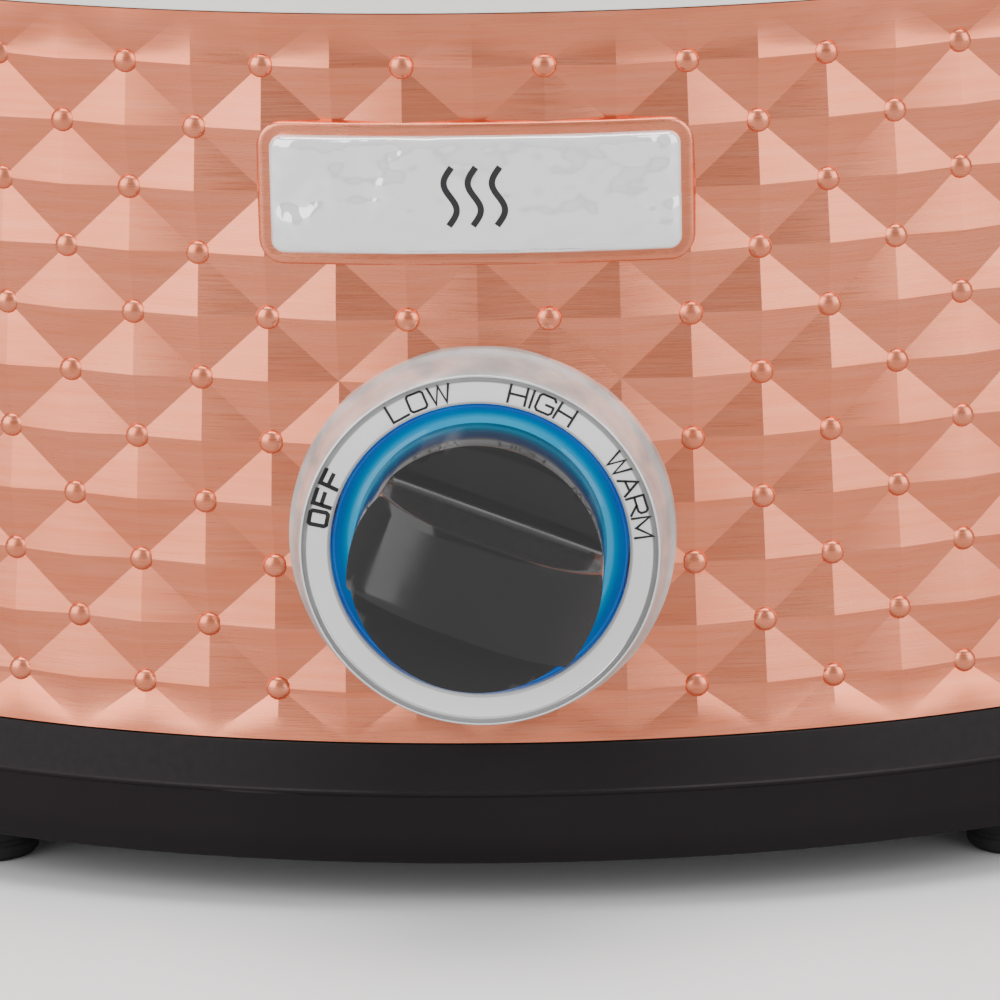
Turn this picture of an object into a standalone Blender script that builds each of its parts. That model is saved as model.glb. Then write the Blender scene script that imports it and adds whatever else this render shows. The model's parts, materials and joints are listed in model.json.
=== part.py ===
"""Oval slow cooker with a copper wrap, a rotary heat switch and a lift-out stoneware crock.

Metres, +Z up. The front, with the dial, faces -Y. The origin is under the middle of the
whole cooker, on the surface that it stands on.
"""
import math

import bmesh
import bpy
from mathutils import Matrix

GAP = 0.0003                    # left between two pieces that touch

# Housing: every oval is a turned shape, stretched along X
OVAL_A = 0.165                  # half the wrap's length
OVAL_B = 0.128                  # half the wrap's depth
STRETCH = OVAL_A / OVAL_B
OVAL_STEPS = 48
WRAP_TOP = 0.1625
WRAP_BOTTOM = 0.0315
WRAP_WALL = 0.0012
BASE_BOTTOM = 0.0092
BASE_RIDGE = 0.0031             # how far the base's ridge stands out from the wrap
BASE_FLANGE_TOP = 0.0117
COVER_TOP = 0.0130
LINER_SHEET = 0.0010
LINER_FLOOR = 0.0285
FLANGE_TOP = WRAP_TOP + GAP + LINER_SHEET
BAND_BOTTOM = 0.0400
BAND_TOP = 0.0560

# Control dial: heights are measured outwards from the wrap's front line
DIAL_Z = 0.0694
BEZEL_RADIUS = 0.0340
BEZEL_HEIGHT = 0.0108
OPENING_RADIUS = 0.0262
KNOB_RADIUS = 0.0221
KNOB_FOOT = 0.0068
KNOB_FLOOR = 0.0235
KNOB_FRONT = 0.0388
KNOB_FALL = 0.0100              # how far the grip's front falls back at its ends
GRIP_TOP_HALF = 0.0085
GRIP_FOOT_HALF = 0.0110
OFF_ANGLE = math.radians(159)   # where the grip points at rest, from +X towards +Z
SPINDLE_RADIUS = 0.0030

BADGE_SIZE = (0.0716, 0.0203)
BADGE_Z = 0.1314
BADGE_CORNER = 0.0022

# Side handles
HANDLE_Z = 0.122
HANDLE_HALF_HEIGHT = 0.009
HANDLE_REACH = 0.040            # beyond the wrap's end
HANDLE_HALF_WIDTH = 0.050
HANDLE_ARM = 0.014
HANDLE_GRIP = 0.013
HANDLE_SCREW_Y = 0.043

# Feet
FOOT_X = 0.0945
FOOT_INSET = 0.015
FOOT_RADIUS = 0.0115

# Lid
LID_LEDGE = 0.1700              # the ledge in the crock's rim that the lid rests on
GLASS_RADIUS = OVAL_B - 0.0146
GLASS_EDGE_Z = 0.1715
GLASS_RISE = 0.026
GLASS_THICK = 0.004
VENT_X = 0.060
LID_TOP = GLASS_EDGE_Z + GLASS_RISE + GLASS_THICK

GLAND_Z = 0.050
GLAND_STANDOUT = 0.0062

# The oval sits a little behind the origin, because the knob stands out further in front than
# the cord gland does behind
CENTRE_Y = (KNOB_FRONT - GLAND_STANDOUT) / 2

COLOURS = {
    # name: (colour, roughness, metallic)
    "copper": ((0.74, 0.36, 0.25), 0.35, 1.0),
    "chrome": ((0.85, 0.86, 0.88), 0.08, 1.0),
    "steel": ((0.62, 0.62, 0.64), 0.32, 1.0),
    "aluminised": ((0.70, 0.71, 0.72), 0.45, 1.0),
    "black_base": ((0.035, 0.030, 0.032), 0.45, 0.0),
    "black_gloss": ((0.030, 0.030, 0.032), 0.12, 0.0),
    "rubber": ((0.020, 0.020, 0.020), 0.80, 0.0),
    "blue_light": ((0.02, 0.32, 0.75), 0.20, 0.0),
    "stoneware": ((0.90, 0.88, 0.82), 0.15, 0.0),
    "glass": ((0.85, 0.90, 0.90), 0.03, 0.0),
    "board_green": ((0.05, 0.22, 0.10), 0.50, 0.0),
    "phenolic": ((0.20, 0.12, 0.07), 0.50, 0.0),
    "wire_sleeve": ((0.75, 0.72, 0.62), 0.60, 0.0),
    "silicone": ((0.55, 0.55, 0.55), 0.60, 0.0),
}


def clear_scene():
    """Remove every object, so that a second run starts clean."""
    for obj in list(bpy.data.objects):
        bpy.data.objects.remove(obj, do_unlink=True)


def make_collection(name):
    """A collection linked to the scene."""
    collection = bpy.data.collections.new(name)
    bpy.context.scene.collection.children.link(collection)
    return collection


def make_material(name):
    """A Principled material from the colour table."""
    colour, roughness, metallic = COLOURS[name]
    material = bpy.data.materials.new(name)
    material.use_nodes = True
    shader = material.node_tree.nodes["Principled BSDF"]
    shader.inputs["Base Color"].default_value = (*colour, 1.0)
    shader.inputs["Roughness"].default_value = roughness
    shader.inputs["Metallic"].default_value = metallic
    return material


clear_scene()
COOKER = make_collection("slow_cooker")
CUTTERS = make_collection("cutters")
MATERIALS = {name: make_material(name) for name in COLOURS}


def make_empty(name, location, rotation=(0, 0, 0), parent=None):
    """An empty that carries a joint axis or a group's frame."""
    empty = bpy.data.objects.new(name, None)
    COOKER.objects.link(empty)
    empty.location = location
    empty.rotation_euler = rotation
    empty.parent = parent
    empty.empty_display_size = 0.02
    return empty


HOUSING = make_empty("housing_frame", (0, CENTRE_Y, 0))
DIAL = make_empty("dial_frame", (0, -OVAL_B, DIAL_Z), (math.pi / 2, 0, 0), HOUSING)
KNOB_AXIS = make_empty("knob_axis", (0, 0, 0), (0, 0, 0), DIAL)
CROCK_FRAME = make_empty("crock_frame", (0, 0, 0), (0, 0, 0), HOUSING)
LID_FRAME = make_empty("lid_frame", (0, 0, 0), (0, 0, 0), CROCK_FRAME)


def place(obj, material, parent, location=(0, 0, 0), rotation=(0, 0, 0)):
    """Link an object as a piece, or as a cutter where it has no material."""
    if material is None:
        CUTTERS.objects.link(obj)
        obj.hide_render = True
        obj.display_type = "WIRE"
    else:
        COOKER.objects.link(obj)
        obj.data.materials.append(MATERIALS[material])
    obj.parent = parent
    obj.location = location
    obj.rotation_euler = rotation
    return obj


def turned(name, profile, material, parent, steps=24, location=(0, 0, 0), rotation=(0, 0, 0)):
    """Turn a profile of (radius, height) about Z. It closes on itself unless it ends on the axis."""
    count = len(profile)
    edges = [(i, i + 1) for i in range(count - 1)]
    if profile[0][0] > 0:
        edges.append((count - 1, 0))
    mesh = bpy.data.meshes.new(name)
    mesh.from_pydata([(radius, 0, height) for radius, height in profile], edges, [])
    obj = bpy.data.objects.new(name, mesh)
    screw = obj.modifiers.new("Turn", "SCREW")
    screw.axis = "Z"
    screw.steps = steps
    screw.render_steps = steps
    screw.use_merge_vertices = True
    screw.merge_threshold = 0.00001
    return place(obj, material, parent, location, rotation)


def oval(name, profile, material, parent=HOUSING):
    """Turn a profile of (offset from the wrap, height) and stretch it to the oval."""
    radii = [(0 if offset is None else OVAL_B + offset, height) for offset, height in profile]
    obj = turned(name, radii, material, parent, OVAL_STEPS)
    obj.scale.x = STRETCH
    return obj


def from_bmesh(name, bm, material, parent, location, rotation):
    """Put a finished bmesh into an object."""
    mesh = bpy.data.meshes.new(name)
    bm.to_mesh(mesh)
    bm.free()
    return place(bpy.data.objects.new(name, mesh), material, parent, location, rotation)


def box(name, size, material, parent=HOUSING, location=(0, 0, 0), rotation=(0, 0, 0), bevel=0):
    """A box with optional rounded edges."""
    bm = bmesh.new()
    bmesh.ops.create_cube(bm, size=1)
    bmesh.ops.scale(bm, vec=size, verts=bm.verts)
    obj = from_bmesh(name, bm, material, parent, location, rotation)
    if bevel:
        round_edges(obj, bevel, 1)
    return obj


def cylinder(name, radius, depth, material, parent=HOUSING, location=(0, 0, 0),
             rotation=(0, 0, 0), segments=20):
    """A capped cylinder along Z, centred on its location."""
    bm = bmesh.new()
    bmesh.ops.create_cone(bm, cap_ends=True, segments=segments, radius1=radius,
                          radius2=radius, depth=depth)
    return from_bmesh(name, bm, material, parent, location, rotation)


def round_edges(obj, width, segments):
    """Round the sharp edges of a piece."""
    bevel = obj.modifiers.new("Round edges", "BEVEL")
    bevel.width = width
    bevel.segments = segments
    bevel.limit_method = "ANGLE"
    bevel.angle_limit = math.radians(40)


def combine(obj, other, operation="DIFFERENCE"):
    """Cut, join or intersect a piece with another object."""
    boolean = obj.modifiers.new(operation.title(), "BOOLEAN")
    boolean.operation = operation
    boolean.solver = "EXACT"
    boolean.object = other


def curve_to_piece(curve_object, name, material, parent, location, rotation):
    """Turn a curve into a closed mesh piece."""
    bpy.context.scene.collection.objects.link(curve_object)
    evaluated = curve_object.evaluated_get(bpy.context.evaluated_depsgraph_get())
    mesh = bpy.data.meshes.new_from_object(evaluated)
    bpy.data.objects.remove(curve_object, do_unlink=True)
    mesh.materials.clear()
    mesh.name = name
    bm = bmesh.new()
    bm.from_mesh(mesh)
    bmesh.ops.remove_doubles(bm, verts=bm.verts, dist=0.000001)
    bmesh.ops.recalc_face_normals(bm, faces=bm.faces)
    bm.to_mesh(mesh)
    bm.free()
    return place(bpy.data.objects.new(name, mesh), material, parent, location, rotation)


def flat_piece(name, outline, half_thickness, material, parent, location=(0, 0, 0),
               rotation=(0, 0, 0)):
    """Extrude a flat closed outline of (x, y) both ways along Z."""
    curve = bpy.data.curves.new(name, "CURVE")
    curve.dimensions = "2D"
    curve.fill_mode = "BOTH"
    curve.extrude = half_thickness
    spline = curve.splines.new("POLY")
    spline.points.add(len(outline) - 1)
    for point, (x, y) in zip(spline.points, outline):
        point.co = (x, y, 0, 1)
    spline.use_cyclic_u = True
    curve_object = bpy.data.objects.new(name, curve)
    return curve_to_piece(curve_object, name, material, parent, location, rotation)


def wire(name, points, radius, material, bevel_resolution=2):
    """A round wire through the given points."""
    curve = bpy.data.curves.new(name, "CURVE")
    curve.dimensions = "3D"
    curve.bevel_depth = radius
    curve.bevel_resolution = bevel_resolution
    curve.use_fill_caps = True
    spline = curve.splines.new("POLY")
    spline.points.add(len(points) - 1)
    for point, position in zip(spline.points, points):
        point.co = (*position, 1)
    curve_object = bpy.data.objects.new(name, curve)
    return curve_to_piece(curve_object, name, material, HOUSING, (0, 0, 0), (0, 0, 0))


def smooth_route(corners, steps=4):
    """Points on a Catmull-Rom curve through the corners."""
    ends = [corners[0]] + corners + [corners[-1]]
    points = []
    for index in range(1, len(ends) - 2):
        p0, p1, p2, p3 = ends[index - 1:index + 3]
        for step in range(steps):
            t = step / steps
            points.append([
                0.5 * (2 * b + (c - a) * t + (2 * a - 5 * b + 4 * c - d) * t ** 2
                       + (3 * b - a - 3 * c + d) * t ** 3)
                for a, b, c, d in zip(p0, p1, p2, p3)])
    points.append(list(corners[-1]))
    return points


def arc(centre, radius, start, end, steps):
    """Points on an arc, with its angles in degrees."""
    angles = [math.radians(start + (end - start) * i / steps) for i in range(steps + 1)]
    return [(centre[0] + radius * math.cos(a), centre[1] + radius * math.sin(a)) for a in angles]


def oval_y(x, offset=0.0):
    """How far the oval of an offset stands from its long axis at x."""
    radius = OVAL_B + offset
    return radius * math.sqrt(1 - (x / (radius * STRETCH)) ** 2)


def oval_x(y, offset=0.0):
    """How far the oval of an offset stands from its short axis at y."""
    radius = OVAL_B + offset
    return radius * STRETCH * math.sqrt(1 - (y / radius) ** 2)


def screw_profile(head_radius, head_height, shank_radius, length):
    """A screw with its head above 0 and its shank below."""
    return [(0, head_height), (head_radius * 0.8, head_height), (head_radius, head_height * 0.5),
            (head_radius, 0), (shank_radius, 0), (shank_radius, -length), (0, -length)]


def make_housing():
    """The copper wrap, the black base, the bottom cover and the heating well."""
    wrap = oval("outer_wrap", [(0, WRAP_TOP), (0, WRAP_BOTTOM), (-WRAP_WALL, WRAP_BOTTOM),
                               (-WRAP_WALL, WRAP_TOP)], "copper")
    skirt_top = WRAP_BOTTOM - GAP
    skirt = oval("base_skirt", [
        (-0.0016, 0.0350), (-0.0016, skirt_top), (0.0003, skirt_top), (0.0027, 0.0245),
        (BASE_RIDGE, 0.0230), (0.0026, 0.0215), (0.0020, 0.0125), (0.0003, BASE_BOTTOM),
        (-0.0280, BASE_BOTTOM), (-0.0280, BASE_FLANGE_TOP), (-0.0050, BASE_FLANGE_TOP),
        (-0.0038, 0.0150), (-0.0038, 0.0350)], "black_base")
    cover_bottom = BASE_FLANGE_TOP + GAP
    cover = oval("bottom_cover", [(None, COVER_TOP), (-0.0056, COVER_TOP),
                                  (-0.0056, cover_bottom), (None, cover_bottom)], "aluminised")
    under = LINER_FLOOR - LINER_SHEET
    lip = WRAP_TOP + GAP
    oval("heating_liner", [
        (None, LINER_FLOOR), (-0.0264, LINER_FLOOR), (-0.0201, 0.0345), (-0.0176, 0.1580),
        (-0.0155, FLANGE_TOP), (-0.0004, FLANGE_TOP), (-0.0004, lip), (-0.0145, lip),
        (-0.0166, 0.1580), (-0.0190, 0.0340), (-0.0260, under), (None, under)], "aluminised")
    reflector = oval("heat_reflector", [
        (None, 0.0203), (-0.0300, 0.0203), (-0.0262, 0.0245), (-0.0254, 0.0245),
        (-0.0292, 0.0195), (None, 0.0195)], "aluminised")
    return wrap, skirt, cover, reflector


def make_heater():
    """The band round the well, its spring and its overheat cutout."""
    band = oval("heating_band", [(-0.0162, BAND_TOP), (-0.0162, BAND_BOTTOM),
                                 (-0.0176, BAND_BOTTOM), (-0.0176, BAND_TOP)], "steel")
    slit_width = 0.016
    band_middle = (BAND_TOP + BAND_BOTTOM) / 2
    band_y = OVAL_B - 0.0169
    combine(band, box("band_slit", (slit_width, 0.010, 0.030), None,
                      location=(0, band_y, band_middle)))
    turns = 5
    steps = turns * 8
    coil_radius = 0.0020
    coil_length = slit_width - 0.0020
    coil = []
    for i in range(steps + 1):
        angle = 2 * math.pi * turns * i / steps
        coil.append((coil_length * (i / steps - 0.5), band_y + 0.0016 + coil_radius * math.cos(angle),
                     band_middle + coil_radius * math.sin(angle)))
    wire("band_spring", coil, 0.0005, "steel", 1)
    cutout_x = 0.048
    box("thermal_cutout", (0.014, 0.004, 0.009), "phenolic", bevel=0.0005, rotation=(0, 0, -0.22),
        location=(cutout_x, oval_y(cutout_x, -0.0132), band_middle))


def make_wiring():
    """The mains terminal block and the leads inside the base."""
    block_y = 0.090
    box("terminal_block", (0.034, 0.012, 0.0055), "phenolic", bevel=0.0006,
        location=(-0.030, block_y, 0.01615))
    lead = 0.0012
    low = 0.0163
    front = block_y - 0.0064
    rear = block_y + 0.0064
    switch_foot = 0.0565
    gap_y = OVAL_B - 0.0095
    wire("live_lead", smooth_route([
        (-0.040, front, low), (-0.039, 0.045, low), (-0.026, -0.050, low), (-0.013, -0.096, low),
        (-0.008, -0.1135, 0.024), (-0.006, -gap_y, 0.040), (-0.006, -gap_y, switch_foot)], 3),
         lead, "wire_sleeve")
    wire("heater_lead", smooth_route([
        (0.006, -gap_y, switch_foot), (0.008, -gap_y, 0.051), (0.017, -gap_y + 0.001, 0.0475),
        (0.030, -oval_y(0.030, -0.0144), 0.047)], 3), lead, "wire_sleeve")
    wire("neutral_lead", smooth_route([
        (-0.022, rear, low), (-0.021, 0.106, 0.0185), (-0.020, 0.1140, 0.028),
        (-0.018, 0.1155, 0.040), (-0.014, oval_y(0.014, -0.0144), 0.047)], 3), lead, "wire_sleeve")
    wire("earth_lead", smooth_route([
        (-0.022, front, low), (-0.021, 0.060, low), (-0.015, 0.025, low), (-0.0036, 0.0036, low)], 3),
         lead, "wire_sleeve")


def make_centre_bolt(cover, reflector):
    """The stud and nut that pull the well down onto the bottom cover."""
    stud_radius = 0.0025
    stud_top = LINER_FLOOR - LINER_SHEET - GAP
    stud_bottom = 0.0085
    height = stud_top - stud_bottom
    middle = (stud_top + stud_bottom) / 2
    cylinder("tie_stud", stud_radius, height, "steel", location=(0, 0, middle), segments=16)
    hole = cylinder("tie_hole", stud_radius + GAP, height * 2, None, location=(0, 0, middle),
                    segments=16)
    nut = cylinder("tie_nut", 0.0046, 0.0022, "steel", location=(0, 0, 0.0104), segments=6)
    for piece in (cover, reflector, nut):
        combine(piece, hole)


def make_feet(skirt, cover):
    """Four rubber feet, each held by a screw up through the base."""
    foot_top = BASE_BOTTOM - GAP
    foot_y = oval_y(FOOT_X, -FOOT_INSET)
    corners = {"front_left": (-1, -1), "front_right": (1, -1),
               "rear_left": (-1, 1), "rear_right": (1, 1)}
    for corner, (side, end) in corners.items():
        spot = (side * FOOT_X, end * foot_y, 0)
        turned("foot_" + corner, [
            (FOOT_RADIUS - 0.0020, foot_top), (FOOT_RADIUS, 0.0062), (FOOT_RADIUS - 0.0006, 0.0008),
            (FOOT_RADIUS - 0.0014, 0), (0.0044, 0), (0.0044, 0.0042), (0.0021, 0.0042),
            (0.0021, foot_top)], "rubber", HOUSING, 16, spot)
        screw_seat = 0.0042 - GAP
        turned("foot_screw_" + corner, screw_profile(0.0038, 0.0022, 0.0018, 0.0116), "steel",
               HOUSING, 10, (spot[0], spot[1], screw_seat), (math.pi, 0, 0))
        hole = cylinder("foot_hole_" + corner, 0.0021, 0.012, None, segments=12,
                        location=(spot[0], spot[1], 0.0125))
        combine(skirt, hole)
        combine(cover, hole)


def handle_outline():
    """The plan of the right handle: a bow with two arms that end on the wrap."""
    reach = OVAL_A + HANDLE_REACH
    half = HANDLE_HALF_WIDTH
    outer_round = 0.024
    inner_half = half - HANDLE_ARM
    inner_reach = reach - HANDLE_GRIP
    inner_round = 0.014
    clear = 0.0006
    points = [(oval_x(-half, clear), -half)]
    points += arc((reach - outer_round, -half + outer_round), outer_round, -90, 0, 6)
    points += arc((reach - outer_round, half - outer_round), outer_round, 0, 90, 6)
    points += [(oval_x(half, clear), half), (oval_x(inner_half, clear), inner_half)]
    points += arc((inner_reach - inner_round, inner_half - inner_round), inner_round, 90, 0, 4)
    points += arc((inner_reach - inner_round, -inner_half + inner_round), inner_round, 0, -90, 4)
    points += [(oval_x(-inner_half, clear), -inner_half)]
    return points


def make_handles(wrap):
    """Two side handles, each held by two screws from inside the wrap."""
    head_height = 0.0022
    wall_x = oval_x(HANDLE_SCREW_Y)
    seat_x = wall_x - WRAP_WALL * STRETCH - 0.0022
    shank = 0.0150
    for side_name, side in (("left", -1), ("right", 1)):
        outline = [(side * x, y) for x, y in handle_outline()]
        handle = flat_piece("handle_" + side_name, outline, HANDLE_HALF_HEIGHT, "black_gloss",
                            HOUSING, (0, 0, HANDLE_Z))
        round_edges(handle, 0.0040, 2)
        for end_name, end in (("front", -1), ("rear", 1)):
            name = side_name + "_" + end_name
            lay = (0, -side * math.pi / 2, 0)
            turned("handle_screw_" + name, screw_profile(0.0034, head_height, 0.0018, shank),
                   "steel", HOUSING, 10, (side * seat_x, end * HANDLE_SCREW_Y, HANDLE_Z), lay)
            hole = cylinder("handle_hole_" + name, 0.0022, 2 * shank + 0.0010, None, segments=12,
                            location=(side * seat_x, end * HANDLE_SCREW_Y, HANDLE_Z), rotation=lay)
            combine(wrap, hole)
            combine(handle, hole)


def make_knob():
    """The control knob: a drum with a domed grip bar across it, and its spindle."""
    edge = 0.0008
    knob = turned("control_knob", [
        (0, KNOB_FRONT), (KNOB_RADIUS - edge, KNOB_FRONT), (KNOB_RADIUS, KNOB_FRONT - edge),
        (KNOB_RADIUS, KNOB_FOOT), (0, KNOB_FOOT)], "black_gloss", KNOB_AXIS, 40)
    wall = []
    for i in range(7):
        angle = math.pi / 2 * i / 6
        wall.append((GRIP_FOOT_HALF - (GRIP_FOOT_HALF - GRIP_TOP_HALF) * math.cos(angle),
                     KNOB_FRONT - (KNOB_FRONT - KNOB_FLOOR) * math.sin(angle)))
    far = KNOB_RADIUS + 0.004
    above = KNOB_FRONT + 0.003
    scoop = [(GRIP_TOP_HALF, above)] + wall + [(far, KNOB_FLOOR), (far, above)]
    for name, side in (("scoop_upper", 1), ("scoop_lower", -1)):
        outline = [(side * across, height) for across, height in scoop]
        cutter = flat_piece(name, outline, far, None, KNOB_AXIS)
        turn = Matrix.Rotation(OFF_ANGLE - math.pi / 2, 4, "Z")
        cutter.matrix_local = turn @ Matrix.Rotation(math.pi / 2, 4, "X")
        combine(knob, cutter)
    shares = [i / 8 for i in range(-9, 10)]
    dome = [(KNOB_RADIUS * share, KNOB_FRONT - KNOB_FALL * abs(share) ** 3) for share in shares]
    dome = [(dome[0][0], above)] + dome + [(dome[-1][0], above)]
    cutter = flat_piece("dome_cutter", dome, far, None, KNOB_AXIS)
    cutter.matrix_local = Matrix.Rotation(OFF_ANGLE, 4, "Z") @ Matrix.Rotation(math.pi / 2, 4, "X")
    combine(knob, cutter)
    bore_depth = 0.0155
    combine(knob, cylinder("knob_bore", SPINDLE_RADIUS + GAP, bore_depth, None, KNOB_AXIS,
                           (0, 0, bore_depth / 2)))
    spindle_back = -0.0100
    spindle_front = bore_depth - 0.0005
    cylinder("knob_spindle", SPINDLE_RADIUS, spindle_front - spindle_back, "steel", KNOB_AXIS,
             (0, 0, (spindle_front + spindle_back) / 2))


def make_dial():
    """The chrome bezel, the blue light ring, its lamp board and the screws of the bezel."""
    behind = -0.0045
    bezel = turned("dial_bezel", [
        (0.0300, BEZEL_HEIGHT), (0.0312, 0.0106), (0.0318, 0.0098), (0.0330, 0.0022),
        (BEZEL_RADIUS, 0.0008), (BEZEL_RADIUS, behind), (OPENING_RADIUS, behind),
        (OPENING_RADIUS, 0.0098), (0.0268, 0.0104)], "chrome", DIAL, 48)
    body = oval("wrap_clearance", [(None, 0.140), (GAP, 0.140), (GAP, 0.020), (None, 0.020)], None)
    combine(bezel, body)
    turned("light_ring", [
        (0.0259, 0.0082), (0.0259, 0.0022), (0.0120, 0.0022), (0.0120, 0.0052),
        (0.0215, 0.0056), (0.0245, 0.0068)], "blue_light", DIAL, 32)
    turned("lamp_board", [(0.0256, 0.0019), (0.0256, GAP), (0.0112, GAP), (0.0112, 0.0019)],
           "board_green", DIAL, 24)
    holes = []
    screw_radius = 0.0298
    for name, side in (("upper", 1), ("lower", -1)):
        spot = (0, side * screw_radius, -WRAP_WALL - GAP - 0.0001)
        turned("bezel_screw_" + name, screw_profile(0.0026, 0.0016, 0.0012, 0.0060), "steel",
               DIAL, 10, spot, (math.pi, 0, 0))
        hole = cylinder("bezel_hole_" + name, 0.0015, 0.0100, None, DIAL,
                        (spot[0], spot[1], 0.0), segments=12)
        combine(bezel, hole)
        holes.append(hole)
    return holes


def make_switch():
    """The rotary heat switch on its bracket behind the wrap."""
    bush_radius = 0.0045
    bush_front = 0.0018
    body_back = -0.0140
    body_front = -0.0040
    switch = box("rotary_switch", (0.024, 0.024, body_front - body_back), "phenolic", DIAL,
                 (0, 0, (body_front + body_back) / 2), bevel=0.0008)
    bush_length = bush_front - body_front + 0.002
    combine(switch, cylinder("switch_bush", bush_radius, bush_length, None, DIAL,
                             (0, 0, bush_front - bush_length / 2)), "UNION")
    bore_bottom = -0.0108
    bore_length = 0.020
    combine(switch, cylinder("switch_bore", SPINDLE_RADIUS + GAP, bore_length, None, DIAL,
                             (0, 0, bore_bottom + bore_length / 2)))
    bush_hole = cylinder("bush_hole", bush_radius + GAP, 0.020, None, DIAL)
    bracket = box("switch_bracket", (0.040, 0.034, 0.0010), "steel", DIAL, (0, 0, -0.0032))
    combine(bracket, bush_hole)
    nut = cylinder("switch_nut", 0.0072, 0.0024, "steel", DIAL, (0, 0, -0.0011), segments=6)
    combine(nut, bush_hole)


def make_badge():
    """A plain chrome plate that follows the curve of the wrap."""
    half_x = BADGE_SIZE[0] / 2
    half_z = BADGE_SIZE[1] / 2
    inner_x = half_x - BADGE_CORNER
    inner_z = half_z - BADGE_CORNER
    outline = []
    for sx, sz, start in ((1, 1, 0), (-1, 1, 90), (-1, -1, 180), (1, -1, 270)):
        outline += arc((sx * inner_x, sz * inner_z), BADGE_CORNER, start, start + 90, 3)
    badge = flat_piece("badge_plate", outline, 0.008, "chrome", HOUSING,
                       (0, -OVAL_B, BADGE_Z), (math.pi / 2, 0, 0))
    low = BADGE_Z - half_z * 2
    high = BADGE_Z + half_z * 2
    shell = oval("badge_shell", [(0.0020, high), (0.0020, low), (GAP, low), (GAP, high)], None)
    combine(badge, shell, "INTERSECT")


def make_gland():
    """The cord inlet at the rear: an open bush through the wrap."""
    bore = 0.0038
    neck = 0.0060
    spot = (0, OVAL_B, GLAND_Z)
    lay = (-math.pi / 2, 0, 0)
    turned("cord_gland", [
        (bore, GLAND_STANDOUT), (0.0064, GLAND_STANDOUT), (0.0080, 0.0030), (0.0092, 0.0025),
        (0.0092, 0.0005), (neck, 0.0005), (neck, -0.0019), (0.0074, -0.0019), (0.0066, -0.0036),
        (bore, -0.0036)], "rubber", HOUSING, 16, spot, lay)
    return cylinder("gland_hole", neck + GAP, 0.012, None, HOUSING, spot, lay, 24)


def make_crock():
    """The stoneware crock, which hangs by its rim on the well's flange, and its two lugs."""
    seat = FLANGE_TOP + GAP
    crock = oval("crock", [
        (None, 0.0370), (-0.0400, 0.0370), (-0.0330, 0.0405), (-0.0305, 0.0480),
        (-0.0262, 0.1580), (-0.0200, LID_LEDGE), (-0.0126, LID_LEDGE), (-0.0112, 0.1740),
        (-0.0085, 0.1750), (-0.0040, 0.1750), (-0.0010, 0.1738), (0.0005, 0.1710),
        (0.0005, 0.1655), (-0.0002, seat), (-0.0170, seat), (-0.0192, 0.1600),
        (-0.0240, 0.0430), (-0.0270, 0.0350), (-0.0340, 0.0305), (None, 0.0305)],
        "stoneware", CROCK_FRAME)
    for name, side in (("lug_left", -1), ("lug_right", 1)):
        lug = cylinder(name, 1.0, 0.0065, None, CROCK_FRAME, (side * OVAL_A, 0, 0.1678),
                       segments=28)
        lug.data.transform(Matrix.Diagonal((0.0135, 0.034, 1, 1)))
        round_edges(lug, 0.0016, 1)
        combine(crock, lug, "UNION")


def dome_height(radius):
    """The underside of the lid's glass over its edge, at a radius along the short axis."""
    return GLASS_EDGE_Z + GLASS_RISE * (1 - (radius / GLASS_RADIUS) ** 2.2)


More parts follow.
